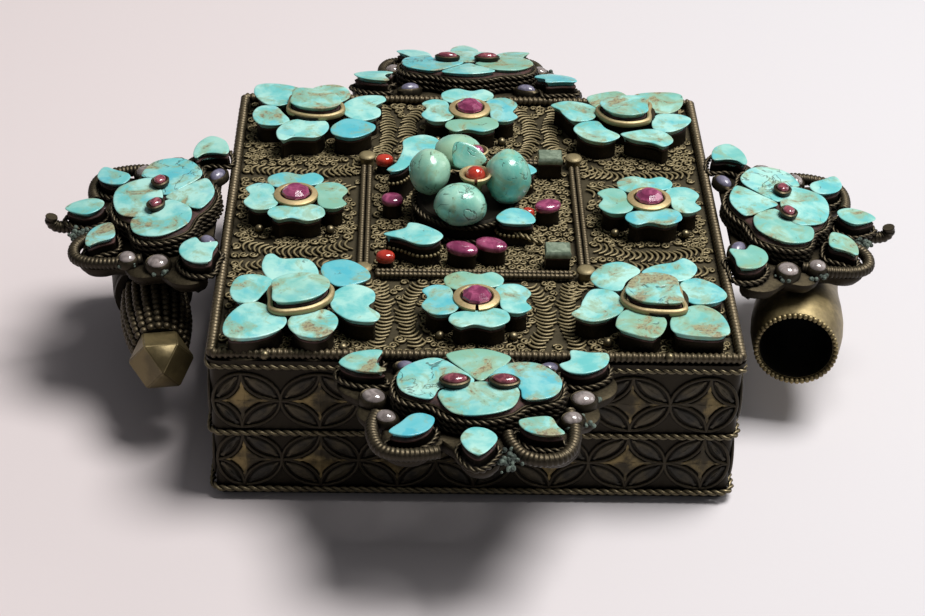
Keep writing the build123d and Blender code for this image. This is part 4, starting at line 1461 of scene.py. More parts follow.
@dataclass
class Walls(Part):
    """The box's walls: wire lattice, stamped fields and twisted ropes."""

    cells: int = 7
    pitch: float = 13.08
    rise: float = 5.5  # half the height of a row
    tray_row: float = 8.15
    cover_row: float = 20.75
    wire: float = 0.34
    cushion: float = 0.42  # how far the middle of a field stands out
    lens_inset: float = 0.62
    star_inset: float = 0.1
    ropes: Lay = Lay(0.6, 3.2)
    eave: float = 27.8  # rope under the deck's edge
    foot: float = 22.5  # where a wing takes the rope's place, from the wall's middle

    def along(self, x: float, half: float) -> float:
        """A place along a wall, drawn in towards the wall's ends.

        Args:
            x: The place in even cells.
            half: Half the wall's length.

        Returns:
            The place on the wall.
        """
        last = self.pitch * (self.cells - 1) / 2
        if abs(x) <= last:
            return x
        share = (half - 0.5 - last) / (self.pitch / 2)
        return math.copysign(last + (abs(x) - last) * share, x)

    def on_wall(self, x: float, up: float, row: float, half: float, proud: float = 0.0) -> Vector:
        """A point of the front wall."""
        return Vector((self.along(x, half), -half - proud, row + up))

    def quarter(self) -> list[Pair]:
        """A quarter oval about a cell's corner, from the cell's middle."""
        a, b = self.pitch / 2, self.rise
        return [(a - a * math.cos(t), b - b * math.sin(t)) for t in EIGHTHS]

    def arcs(self) -> list[list[Pair]]:
        """One cell's wires, from the cell's middle.

        Returns:
            An oval and four quarter ovals.
        """
        turns = [math.tau * i / 28 for i in range(29)]
        oval = [(self.pitch / 2 * math.cos(t), self.rise * math.sin(t)) for t in turns]
        return [oval] + [[(sx * x, sy * y) for x, y in self.quarter()] for sx, sy in QUADRANTS]

    def fields(self) -> list[list[Pair]]:
        """One cell's stamped fields, counterclockwise.

        Returns:
            Four lenses and the hollow star in the cell's middle.
        """
        inner = self.quarter()
        lens = [(self.pitch / 2 * math.cos(t), self.rise * math.sin(t)) for t in EIGHTHS] + inner[1:-1]
        lenses, star = [], []
        for sx, sy in QUADRANTS:
            step = 1 if sx * sy > 0 else -1
            lenses.append([(sx * x, sy * y) for x, y in lens][::step])
            star += [(0.84 * sx * x, 0.88 * sy * y) for x, y in inner][::-step][:-1]
        return [*lenses, star]

    def stamp(self, loop: Ring, inset: float) -> list[Ring]:
        """A field with a raised edge and a low cushion in it.

        Args:
            loop: The field's outline on the wall.
            inset: How far the field stays inside its outline.

        Returns:
            The field's rings.
        """
        axis, loop = Vector((0, -1, 0)), softened(loop, 28, 1)
        edge = ((0.0, -0.1), (0.1, 0.14), (0.4, 0.3))
        rings = [drawn_in(loop, axis, inset + by, lift) for by, lift in edge]
        centre = middle(loop)
        rings.append([centre.lerp(p, 0.5) + axis * 0.08 for p in rings[-1]])
        return [*rings, [centre + axis * self.cushion]]

    def dress_row(self, body: Body, row: float, half: float) -> None:
        """Covers one row of all four walls.

        Args:
            body: The body that the row is on.
            row: The height of the row's middle.
            half: From the middle of the box to the wall.
        """
        paths, lenses, stars = [], Shape(), Shape()
        for number in range(self.cells):
            x = self.pitch * (number - (self.cells - 1) / 2)
            for arc in self.arcs():
                paths.append(Path([self.on_wall(x + u, v, row, half, 0.1) for u, v in arc]))
            loops = [[self.on_wall(x + u, v, row, half) for u, v in outline] for outline in self.fields()]
            *rounds, star = loops
            for lens in rounds:
                lenses.loft(self.stamp(lens, self.lens_inset))
            stars.loft(self.stamp(star, self.star_inset))
        bench, trees = self.bench, self.bench.trees
        sizes = {"Radius": self.wire * MM, "Flats": 6}
        wires = trees.wire.grow("wall_wires", path_object(paths), bench.finish(Finish.SILVER), **sizes)
        bench.grow(trees.walls, wires, f"{body.value}_lattice", Finish.SILVER, Slot.WIRE, body=body)
        for label, shape, kind in (("lenses", lenses, Finish.LENS), ("stars", stars, Finish.LEAF)):
            wall = shape.build(f"wall_{label}", bench.finish(kind))
            bench.grow(trees.walls, wall, f"{body.value}_{label}", kind, Slot.GILT, body=body)

    @staticmethod
    def bend(reach: float, corner: float) -> list[Pair]:
        """A rounded corner of a loop round the box, at the front right."""
        turns, flat = [math.radians(-90 + 15 * i) for i in range(7)], reach - corner
        return [(flat + corner * math.cos(a), corner * math.sin(a) - flat) for a in turns]

    def loop(self, half: float, z: float) -> Path:
        """A loop round the box at a rope's axis."""
        corner = self.bend(half + 0.65, 2.1)
        return Path([turn @ Vector((x, y, z)) for turn in TURNS for x, y in corner], True)

    def eave_paths(self) -> list[Path]:
        """The rope under the deck's edge.

        Returns:
            Four lengths that turn the corners from wing to wing.
        """
        reach = EDGE - 0.2
        run = [(self.foot, -reach), *self.bend(reach, 1.2), (reach, -self.foot)]
        return [Path([turn @ Vector((x, y, self.eave)) for x, y in run]) for turn in TURNS]

    def build(self) -> None:
        """Dresses the walls of the tray and the cover."""
        self.bench.dress(Finish.SHEET, "tray_pan", "tray_lip", "cover_shell", "cover_fascia")
        self.dress_row(Body.TRAY, self.tray_row, TRAY_HALF)
        self.dress_row(Body.COVER, self.cover_row, HALF_SIDE)
        nodes = ("tray_rim_rope", "tray_foot_rope")
        low = [self.loop(TRAY_HALF, middle(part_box(node)).z / MM) for node in nodes]
        self.ropes.run(self.bench, low, "tray_ropes", Finish.WIRE, *nodes, body=Body.TRAY)
        self.ropes.run(self.bench, self.eave_paths(), "eave_rope", Finish.WIRE, "cover_eave_rope")


@dataclass
class Deck(Part):
    """The deck: wrapped rods, studs and filigree."""

    rod: float = 0.95
    wrap: float = 0.98
    groove: float = 0.34  # share of the rod's radius lost between two turns of its wrapping
    frame_half: float = 19.5
    frame_rod: float = 0.58
    frame_wrap: float = 0.8
    frame_groove: float = 0.32
    curl: float = 1.0
    curl_step: float = 1.62
    curl_wire: float = 0.27
    comb_wire: float = 0.29
    comb_step: float = 1.05
    spines: tuple[tuple[Outline, float], ...] = (  # of the combs, with half a comb's width
        (((9.8, -22.3), (11.6, -27.0), (12.2, -32.0), (11.4, -37.0), (9.2, -42.0)), 1.75),
        (((16.6, -22.0), (15.8, -27.0), (15.6, -32.0), (16.0, -37.0), (17.4, -42.2)), 1.6),
        (((20.6, -21.6), (21.4, -19.0), (24.0, -17.4), (27.0, -17.0)), 1.5),
    )

    def rods(self) -> None:
        """Wraps the rods along the deck's edge and round the centre."""
        bench, coil = self.bench, self.bench.trees.coil
        half, z = EDGE - self.rod, DECK + self.rod
        corners = [Vector((x * half, y * half, z)) for x, y in QUADRANTS]
        edge = path_object([Path([a, b]) for a, b in zip(corners, corners[1:] + corners[:1])])
        sizes = {"Radius": self.rod * MM, "Pitch": self.wrap * MM, "Depth": self.groove}
        bench.grow(coil, edge, "edge_rods", Finish.ROD, Slot.WIRE, "rim_rods", **sizes)
        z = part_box("centre_frame_rods")[0].z / MM + self.frame_rod
        reach, rows = self.frame_half - 2.2, (self.frame_half - 0.55, self.frame_half + 0.55)
        ends = [Path([turn @ Vector((x, -y, z)) for x in (-reach, reach)]) for turn in TURNS for y in rows]
        rods = path_object(ends)
        sizes = {"Radius": self.frame_rod * MM, "Pitch": self.frame_wrap * MM, "Depth": self.frame_groove}
        bench.grow(coil, rods, "frame_rods", Finish.ROD, Slot.WIRE, "centre_frame_rods", **sizes)

    def studs(self) -> None:
        """Turns the studs at the corners of the centre frame."""
        shape = Shape()
        profile = ((1.3, -0.6), (1.3, 1.1), (1.55, 1.3), (1.6, 1.7), (1.4, 1.95), (0.8, 2.1), (0.0, 2.12))
        for solid in solids(self.bench.nodes["centre_frame_studs"]):
            shape.lathe(profile, Matrix.Translation((solid.centre.x, solid.centre.y, solid.low.z)), 24)
        self.bench.cast(shape, "frame_studs", Finish.FILIGREE, Slot.GILT, "centre_frame_studs")

    def combs(self) -> list[Path]:
        """Stacks of crescents along bent spines, to each side of every side rosette.

        Returns:
            One path for each crescent.
        """
        arcs, rng = [], random.Random(7)
        shares = [-1.0 + i / 3 for i in range(7)]
        for spine, half in self.spines:
            run = self.evenly([Vector((x, y, 0)) for x, y in spine], self.comb_step)
            for here, after in zip(run, run[1:]):
                along = (after - here).normalized()
                across = Vector((-along.y, along.x, 0)) * half * rng.uniform(0.75, 1.1)
                here = here + across * rng.uniform(-0.2, 0.2)
                arcs.append([here + across * s - along * (0.95 * s * s - 0.5) for s in shares])
        paths = []
        for turn, hand in product(TURNS, (-1, 1)):
            paths += [Path([turn @ Vector((hand * p.x, p.y, DECK + 0.5)) for p in arc]) for arc in arcs]
        return paths

    @staticmethod
    def evenly(points: Ring, step: float) -> Ring:
        """Points at even steps along an open run.

        Args:
            points: The run's corners.
            step: From one point to the next.

        Returns:
            The points.
        """
        run, left = [points[0]], step
        for here, after in zip(points, points[1:]):
            length, at = (after - here).length, 0.0
            while length - at >= left:
                at += left
                run.append(here.lerp(after, at / length))
                left = step
            left -= length - at
        return run

    def curls(self, taken: Sequence[Vector], patch: float = 1.5) -> Object:
        """Spreads the small spirals that fill the deck, clear of the frame and the drum.

        Args:
            taken: Points that the combs hold.
            patch: The side of the patch that each of them holds.

        Returns:
            Points with a turn in radians and a size, below 0 for a spiral that is turned over.
        """
        rng, spots, turns, sizes = random.Random(41), [], [], []
        reach = EDGE - 2 * self.rod - 0.9
        count = int(2 * reach / self.curl_step)
        held = {(round(p.x / patch), round(p.y / patch)) for p in taken}
        for row, column in product(range(count + 1), repeat=2):
            x = -reach + self.curl_step * (column + 0.5 * (row % 2)) + rng.uniform(-0.3, 0.3)
            y = -reach + self.curl_step * row + rng.uniform(-0.3, 0.3)
            turn, size = rng.uniform(0, math.tau), rng.uniform(0.75, 1.12) * rng.choice((-1, 1))
            on_comb = (round(x / patch), round(y / patch)) in held
            on_frame = abs(max(abs(x), abs(y)) - self.frame_half) < 1.6
            if x > reach or on_comb or on_frame or math.hypot(x + 1.3, y) < 7.5:
                continue
            spots.append(Vector((x, y, DECK + 0.42)))
            turns.append(turn)
            sizes.append(size)
        return spot_object(spots, turn=turns, size=sizes)

    def build(self) -> None:
        """Dresses the deck."""
        self.rods()
        self.studs()
        bench, combs = self.bench, self.combs()
        sizes = {"Radius": self.comb_wire * MM, "Taper": 0.35, "Flats": 5}
        wire, crescents = bench.trees.wire, path_object(combs)
        bench.grow(wire, crescents, "filigree_combs", Finish.FILIGREE, Slot.WIRE, "filigree_panel", **sizes)
        ground, half = Shape(), EDGE - 1.9 * self.rod
        sheet = Girdle([Vector((x * half, y * half, DECK)) for x, y in QUADRANTS], UP)
        ground.loft(sheet.walls(((0.0, -0.1), (0.0, 0.15))))
        bench.cast(ground, "filigree_ground", Finish.GROUND, Slot.METAL)
        base = self.curls([p for path in combs for p in path.points])
        sizes = {"Radius": self.curl_wire * MM, "Reach": self.curl * MM}
        bench.grow(bench.trees.curl, base, "filigree_curls", Finish.FILIGREE, Slot.WIRE, **sizes)


class Setting:
    """Flat stones, the collets that hold them and the mastic between, each gathered as one piece."""

    def __init__(self, cut: Cut) -> None:
        """Starts empty, for stones of one cut."""
        self.cut = cut
        self.stones, self.collets, self.mastic = Shape(), Shape(), Shape()

    def hold(self, girdle: Girdle, slab: Slab, drop: float, overhang: float) -> None:
        """Grinds a stone and seats it.

        Args:
            girdle: The stone's outline in its place.
            slab: The stone's looks.
            drop: From the stone's underside down to what the collet stands on.
            overhang: How far the stone stands out over the collet.
        """
        self.cut.grind(self.stones, girdle, slab.tint(girdle.centre))
        self.cut.seat(self.collets, self.mastic, girdle, drop, overhang)

    def present(self, bench: Bench, name: str, stones: Sequence[str], collets: Sequence[str]) -> None:
        """Hands over the three pieces.

        Args:
            bench: Takes the pieces.
            name: The name of the stones. Its last word gives way to that of the other pieces.
            stones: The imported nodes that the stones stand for.
            collets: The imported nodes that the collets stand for.
        """
        group = name.rpartition("_")[0]
        bench.cast(self.stones, name, Finish.TURQUOISE, Slot.TURQUOISE, *stones, crisp=STONE_CREASE)
        bench.cast(self.collets, f"{group}_collets", Finish.COLLET, Slot.METAL, *collets)
        bench.cast(self.mastic, f"{group}_mastic", Finish.MASTIC, Slot.METAL)


def split_ring(shape: Shape, section: Outline, place: Matrix, gap: float) -> None:
    """Adds a ring, split at the front.

    Args:
        shape: Takes the ring.
        section: Radius and height of the section's corners.
        place: The ring's frame, in millimetres.
        gap: The split's angle in degrees, 0 for a closed ring.
    """
    if not gap:
        shape.lathe(section, place, 40, loop=True)
        return
    rows = []
    for i in range(41):
        angle = math.radians(-90 + gap / 2 + (360 - gap) * i / 40)
        x, y = math.cos(angle), math.sin(angle)
        rows.append([place @ Vector((r * x, r * y, z)) for r, z in reversed(section)])
    shape.loft(rows)


@dataclass
class Rosettes(Part):
    """Corner and side rosettes of flat petals round a set stone."""

    corner: Pair = (30.5, 31.3)
    sides: Pair = (33.0, 32.0)
    far_shift: float = 0.9  # of the far corner rosettes, towards the viewer
    far_depth: float = 0.88  # of the far corner rosettes, in shares of the near ones'
    side_width: float = 1.1  # of a side rosette, in shares of its depth
    petal_top: float = 34.0
    centre_top: float = 36.4
    granule: float = 0.8
    cut: Cut = Cut()

    def corner_places(self) -> list[tuple[Matrix, tuple[Slab, ...]]]:
        """The corner rosettes. The far pair mirrors the near one.

        Returns:
            Each rosette's frame and its stones, the middle one last.
        """
        x, y = self.corner
        found = []
        for far, depth in ((-y, 1.0), (y - self.far_shift, -self.far_depth)):
            for hand, slabs in ((-1, LEFT_CORNER), (1, RIGHT_CORNER)):
                place = Matrix.Translation((hand * x, far, 0)) @ Matrix.Diagonal((1, depth, 1, 1))
                found.append((place, slabs))
        return found

    def side_places(self) -> list[Matrix]:
        """Frames of the side rosettes, the front one first.

        Returns:
            One frame for each side.
        """
        found = []
        for number, turn in enumerate(TURNS):
            spin = turn.to_4x4()
            centre = spin @ Vector((0, -self.sides[number % 2], 0))
            found.append(Matrix.Translation(centre) @ Matrix.Diagonal((self.side_width, 1, 1, 1)) @ spin)
        return found

    def petals(self) -> None:
        """Grinds and seats all petals and turns the posts in their middle."""
        setting, laid = Setting(self.cut), []
        for place, slabs in self.corner_places():
            laid += [(slab, place) for slab in slabs[:-1]]
            post = place @ Matrix.Translation((0.4, -1.8, DECK))
            setting.collets.lathe(((5.0, 0.0), (5.0, 5.6), (0.0, 5.6)), post, 28)
        for place in self.side_places():
            laid += [(slab, place @ turn.to_4x4()) for slab, turn in zip(KIDNEYS, TURNS)]
            post = place @ Matrix.Translation((0, 0, DECK))
            setting.collets.lathe(((3.4, 0.0), (3.4, 5.0), (0.0, 5.0)), post, 28)
        level = Matrix.Translation((0, 0, self.petal_top))
        for slab, place in laid:
            girdle = Girdle.through(slab.outline, place @ level)
            setting.hold(girdle, slab, self.petal_top - self.cut.thick - DECK, 0.85)
        stones, collets = ("corner_petals", "side_petals"), ("corner_settings", "side_settings")
        setting.present(self.bench, "rosette_petals", stones, collets)

    def corner_centres(self) -> None:
        """Grinds the corner rosettes' middle stones and lays gilt strip round them."""
        stones, bezels, beds = Shape(), Shape(), Shape()
        bed = ((0.9, -2.3), (0.5, -1.7), (0.35, -1.45), (0.6, -1.2))
        outside = ((-0.7, -2.4), (-0.8, -2.0), (-0.72, -1.55), (-0.55, -1.4))
        strip = (*outside, (-0.2, -1.3), (0.1, -1.45), (0.2, -2.3))
        for place, (*_, slab) in self.corner_places():
            girdle = Girdle.through(slab.outline, place @ Matrix.Translation((0, 0, self.centre_top)))
            self.cut.grind(stones, girdle, slab.tint(girdle.centre))
            beds.loft(girdle.walls(bed))
            bezels.loft(girdle.walls(strip), loop=True)
        cast = self.bench.cast
        cast(stones, "corner_centres", Finish.TURQUOISE, Slot.TURQUOISE, "corner_stones", crisp=STONE_CREASE)
        cast(bezels, "corner_bezel_strips", Finish.STRIP, Slot.GILT, "corner_bezels")
        cast(beds, "corner_centre_beds", Finish.MASTIC, Slot.METAL)

    def side_centres(self) -> None:
        """Turns the gilt rings of the side rosettes, the front one split, and cuts their rubies."""
        rings, gems, beds = Shape(), Shape(), Shape()
        section = ((3.9, -0.3), (4.05, 0.1), (3.95, 0.4), (3.5, 0.6), (3.0, 0.7), (2.8, 0.55), (2.75, -0.3))
        ruby = ((2.35, 0.3), (2.6, 0.6), (2.45, 1.1), (1.5, 1.8), (0.0, 1.95))
        for number, place in enumerate(self.side_places()):
            seat = Matrix.Translation(place.translation) @ Matrix.Translation((0, 0, self.petal_top))
            split_ring(rings, section, seat, 0.0 if number else 9.0)
            beds.lathe(((2.7, -1.0), (2.7, 0.45), (0.0, 0.45)), seat, 28)
            gems.lathe(ruby, seat @ Matrix.Rotation(0.4 * number, 4, "Z"), 9)
        cast = self.bench.cast
        cast(rings, "side_gilt_rings", Finish.GILT, Slot.GILT, "side_rings")
        cast(gems, "side_cut_rubies", Finish.RUBY, Slot.RUBY, "side_rubies", crisp=FACET_CREASE)
        cast(beds, "side_ruby_beds", Finish.SILVER, Slot.METAL)

    def granules(self) -> None:
        """Drops granules between the petals."""
        near = (((-4.6, -14.0), (8.2, -11.6)), ((-8.6, -9.2), (1.4, -13.4)))
        spots = []
        for (place, _), pair in zip(self.corner_places(), near * 2):
            spots += [place @ Vector((x, y, DECK + 1.5)) for x, y in pair]
        for place in self.side_places():
            spots += [place @ Vector((x * 5.6, y * 5.8, DECK + 1.3)) for x, y in product((-1, 1), repeat=2)]
        base = spot_object(spots, size=[1.0] * len(spots))
        sizes = {"Radius": self.granule * MM, "Level": 3}
        self.bench.grow(self.bench.trees.grain, base, "rosette_granules", Finish.WIRE, Slot.GILT, **sizes)

    def build(self) -> None:
        """Dresses the eight rosettes."""
        self.petals()
        self.corner_centres()
        self.side_centres()
        self.granules()


@dataclass(frozen=True)
class Nugget:
    """A tumbled stone: middle, half sizes, lean in degrees about X and Y, and looks."""

    at: Triple
    half: Triple
    lean: Pair
    green: float
    veins: float

    @property
    def tint(self) -> Tint:
        """The stone's tint."""
        return (self.green, 0.11 * self.at[0] % 1.0, 0.3, self.veins)

    def rings(self) -> list[Ring]:
        """The stone's skin.

        Returns:
            Its rings, from below upwards.
        """
        about_x, about_y = (math.radians(angle) for angle in self.lean)
        lean = Matrix.Rotation(about_x, 3, "X") @ Matrix.Rotation(about_y, 3, "Y")
        at, rows = Vector(self.at), []
        for i in range(21):
            lift = math.radians(-90 + 9 * i)
            out, up = math.cos(lift), math.sin(lift)
            ring = circle(out, 40, up) if 0 < i < 20 else [Vector((0, 0, up))]
            rows.append([at + lean @ self.lump(p) for p in ring])
        return rows

    def lump(self, p: Vector) -> Vector:
        """A point of the unit ball, on the uneven stone."""
        coarse, fine = noise.noise(p * 1.3 + Vector(self.at)), noise.noise(p * 3.1 - Vector(self.at))
        return Vector([a * b for a, b in zip(p, self.half)]) * (1.0 + 0.07 * coarse + 0.025 * fine)


@dataclass
class Cluster(Part):
    """The centre cluster: nuggets, cups, leaf stones and small jewels."""

    cut: Cut = Cut(thick=1.4)
    nuggets: tuple[Nugget, ...] = (
        Nugget((-2.4, -7.2, 36.9), (4.7, 4.1, 3.8), (-12, 6), 0.4, 0.8),
        Nugget((6.2, 0.4, 38.2), (4.1, 4.4, 5.2), (6, -4), 0.3, 0.3),
        Nugget((-7.9, 1.4, 38.6), (3.7, 4.2, 4.1), (0, 8), 0.8, 0.3),
        Nugget((-2.6, 9.6, 37.9), (4.4, 3.8, 2.9), (10, 0), 1.0, 0.1),
    )
    chip: Outline = ((-2.6, -1.8), (-2.5, 2.3), (0.9, 1.8), (3.3, -0.6), (2.4, -1.8), (0, -2.6))
    chip_at: Triple = (-0.9, 3.4, 40.9)
    chip_lean: float = 52.0  # degrees
    cup_sunk: float = 1.6
    coral_cup: float = 2.0  # a wider cup holds the coral, a narrower one a ruby
    twig: Outline = ((5.4, -7.1), (6.9, -8.3), (8.8, -9.5), (10.5, -10.9), (12.3, -11.9))
    square: Outline = ((2.3, 1.9), (-2.3, 1.9), (-2.3, -1.9), (2.3, -1.9))  # the emeralds' outline

    def stones(self) -> None:
        """Tumbles the nuggets and breaks the chip."""
        shape = Shape()
        for nugget in self.nuggets:
            shape.loft(nugget.rings(), nugget.tint)
        place = Matrix.Translation(self.chip_at) @ Matrix.Rotation(math.radians(self.chip_lean), 4, "X")
        Cut(1.8, 0.35, 0.0).grind(shape, Girdle.through(self.chip, place, 40), (0.3, 0.4, 0.3, 0.6))
        nodes = ("centre_domes", "centre_chip")
        self.bench.cast(shape, "centre_nuggets", Finish.NUGGET, Slot.TURQUOISE, *nodes)

    def cups(self) -> None:
        """Turns the gilt cups on their stems, the near one split, and the stones in them."""
        cups, coral, ruby = Shape(), Shape(), Shape()
        for solid in solids(self.bench.nodes["centre_cups"]):
            r = (solid.high.x - solid.low.x) / 2
            shift, gap, gems = (0.0, 12.0, coral) if r > self.coral_cup else (2.0, 0.0, ruby)
            at = (solid.centre.x - shift, solid.centre.y - 0.6, solid.high.z - self.cup_sunk)
            place, stem = Matrix.Translation(at), solid.low.z - solid.high.z + self.cup_sunk
            cups.lathe(((0.5 * r, stem), (0.5 * r, -1.5), (0.62 * r, -1.0), (0.0, -0.9)), place, 24)
            outside = ((0.6 * r, -1.3), (0.95 * r, -0.9), (1.2 * r, 0.0), (1.22 * r, 0.45))
            inside = ((1.05 * r, 0.6), (0.88 * r, 0.2), (0.5 * r, -0.6))
            split_ring(cups, outside + inside, place, gap)
            angles = (0.0, 0.35, 0.7, 1.05, 1.35)
            rise = [(0.74 * r * math.cos(a), 0.1 + 0.7 * r * math.sin(a)) for a in angles]
            gems.lathe([(0.7 * r, -0.6), *rise, (0.0, 0.1 + 0.7 * r)], place, 28)
        cast = self.bench.cast
        cast(cups, "gilt_cups", Finish.STRIP, Slot.GILT, "centre_cups")
        cast(coral, "cup_coral_dome", Finish.CORAL, Slot.CORAL, "cup_coral")
        cast(ruby, "cup_ruby_dome", Finish.RUBY, Slot.RUBY)

    def leaves(self) -> None:
        """Grinds the leaf stones, rings their collets with notched wire and lays the loose twig."""
        bench, setting, rims = self.bench, Setting(self.cut), []
        for top, slab in LEAF_STONES:
            girdle = Girdle.through(slab.outline, Matrix.Translation((0, 0, top)))
            setting.hold(girdle, slab, top - self.cut.thick - DECK, 0.5)
            rims.append(Path(girdle.at(0.05, -self.cut.thick - 1.3), True))
        setting.present(bench, "leaf_stones", ["centre_leaf_stones"], ["centre_leaf_collets"])
        sizes = {"Radius": 0.34 * MM, "Spacing": 0.8 * MM}
        rims = path_object(rims)
        bench.grow(bench.trees.bead, rims, "leaf_notched_wire", Finish.FILIGREE, Slot.WIRE, **sizes)
        twig = curve([Vector((x, y, 32.0)) for x, y in self.twig], False)
        Lay(0.5, 2.6).run(bench, [Path(twig)], "loose_twig", Finish.FILIGREE)

    def jewels(self) -> None:
        """Cuts the rubies, corals and cloudy emeralds and stands them on their collets."""
        collets, mastic = Shape(), Shape()
        kinds = (  # with a dome's height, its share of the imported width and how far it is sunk
            ("centre_rubies", Finish.RUBY, Slot.RUBY, (0.9, 1.2, 0.2)),
            ("centre_corals", Finish.CORAL, Slot.CORAL, (1.2, 1.0, 1.2)),
            ("centre_emeralds", Finish.EMERALD, Slot.EMERALD, None),
        )
        for node, finish, slot, dome in kinds:
            shape = Shape()
            for solid in solids(self.bench.nodes[node]):
                if solid.low.z > DECK + 6:  # the ruby that stands in a cup
                    continue
                if dome:
                    tall, swell, sunk = dome
                    centre = middle(solid.loop)
                    loop = [centre.lerp(p, swell) - UP * sunk for p in softened(solid.loop, 28)]
                    girdle, cut = Girdle(loop, UP), Cut(0.5)
                    shape.loft(girdle.dome(tall, -0.5))
                else:
                    loop = [solid.centre + Vector((x, y, 0.8)) for x, y in self.square]
                    girdle, cut = Girdle(loop, UP), Cut(1.3)
                    shape.loft(girdle.walls(((0.3, -1.3), (0.0, -1.0), (0.0, -0.3), (0.4, 0.1))))
                cut.seat(collets, mastic, girdle, girdle.centre.z - cut.thick - DECK, 0.3)
            self.bench.cast(shape, f"{node}_cut", finish, slot, node)
        self.bench.cast(collets, "jewel_collets", Finish.COLLET, Slot.METAL, "centre_jewel_collets")
        self.bench.cast(mastic, "jewel_mastic", Finish.MASTIC, Slot.METAL)

    def drum(self) -> None:
        """Turns the drum under the nuggets and lays twisted wire round it."""
        low, high = (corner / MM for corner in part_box("centre_drum"))
        centre, r, top = (low + high) / 2, (high.x - low.x) / 2, high.z - DECK
        shape, place = Shape(), Matrix.Translation((centre.x, centre.y, DECK))
        profile = ((r, 0.0), (r, top - 0.5), (r - 0.6, top), (r - 1.4, top - 0.4), (0.0, top - 0.6))
        shape.lathe(profile, place, 48)
        self.bench.cast(shape, "cluster_drum", Finish.SOOT, Slot.METAL, "centre_drum")
        loops = [Path([place @ p for p in circle(r + 0.4, 64, z)], True) for z in (1.2, top - 0.6)]
        Lay(0.55, 2.2).run(self.bench, loops, "drum_ropes", Finish.DARK_WIRE)

    def build(self) -> None:
        """Dresses the centre of the deck."""
        self.drum()
        self.stones()
        self.cups()
        self.leaves()
        self.jewels()


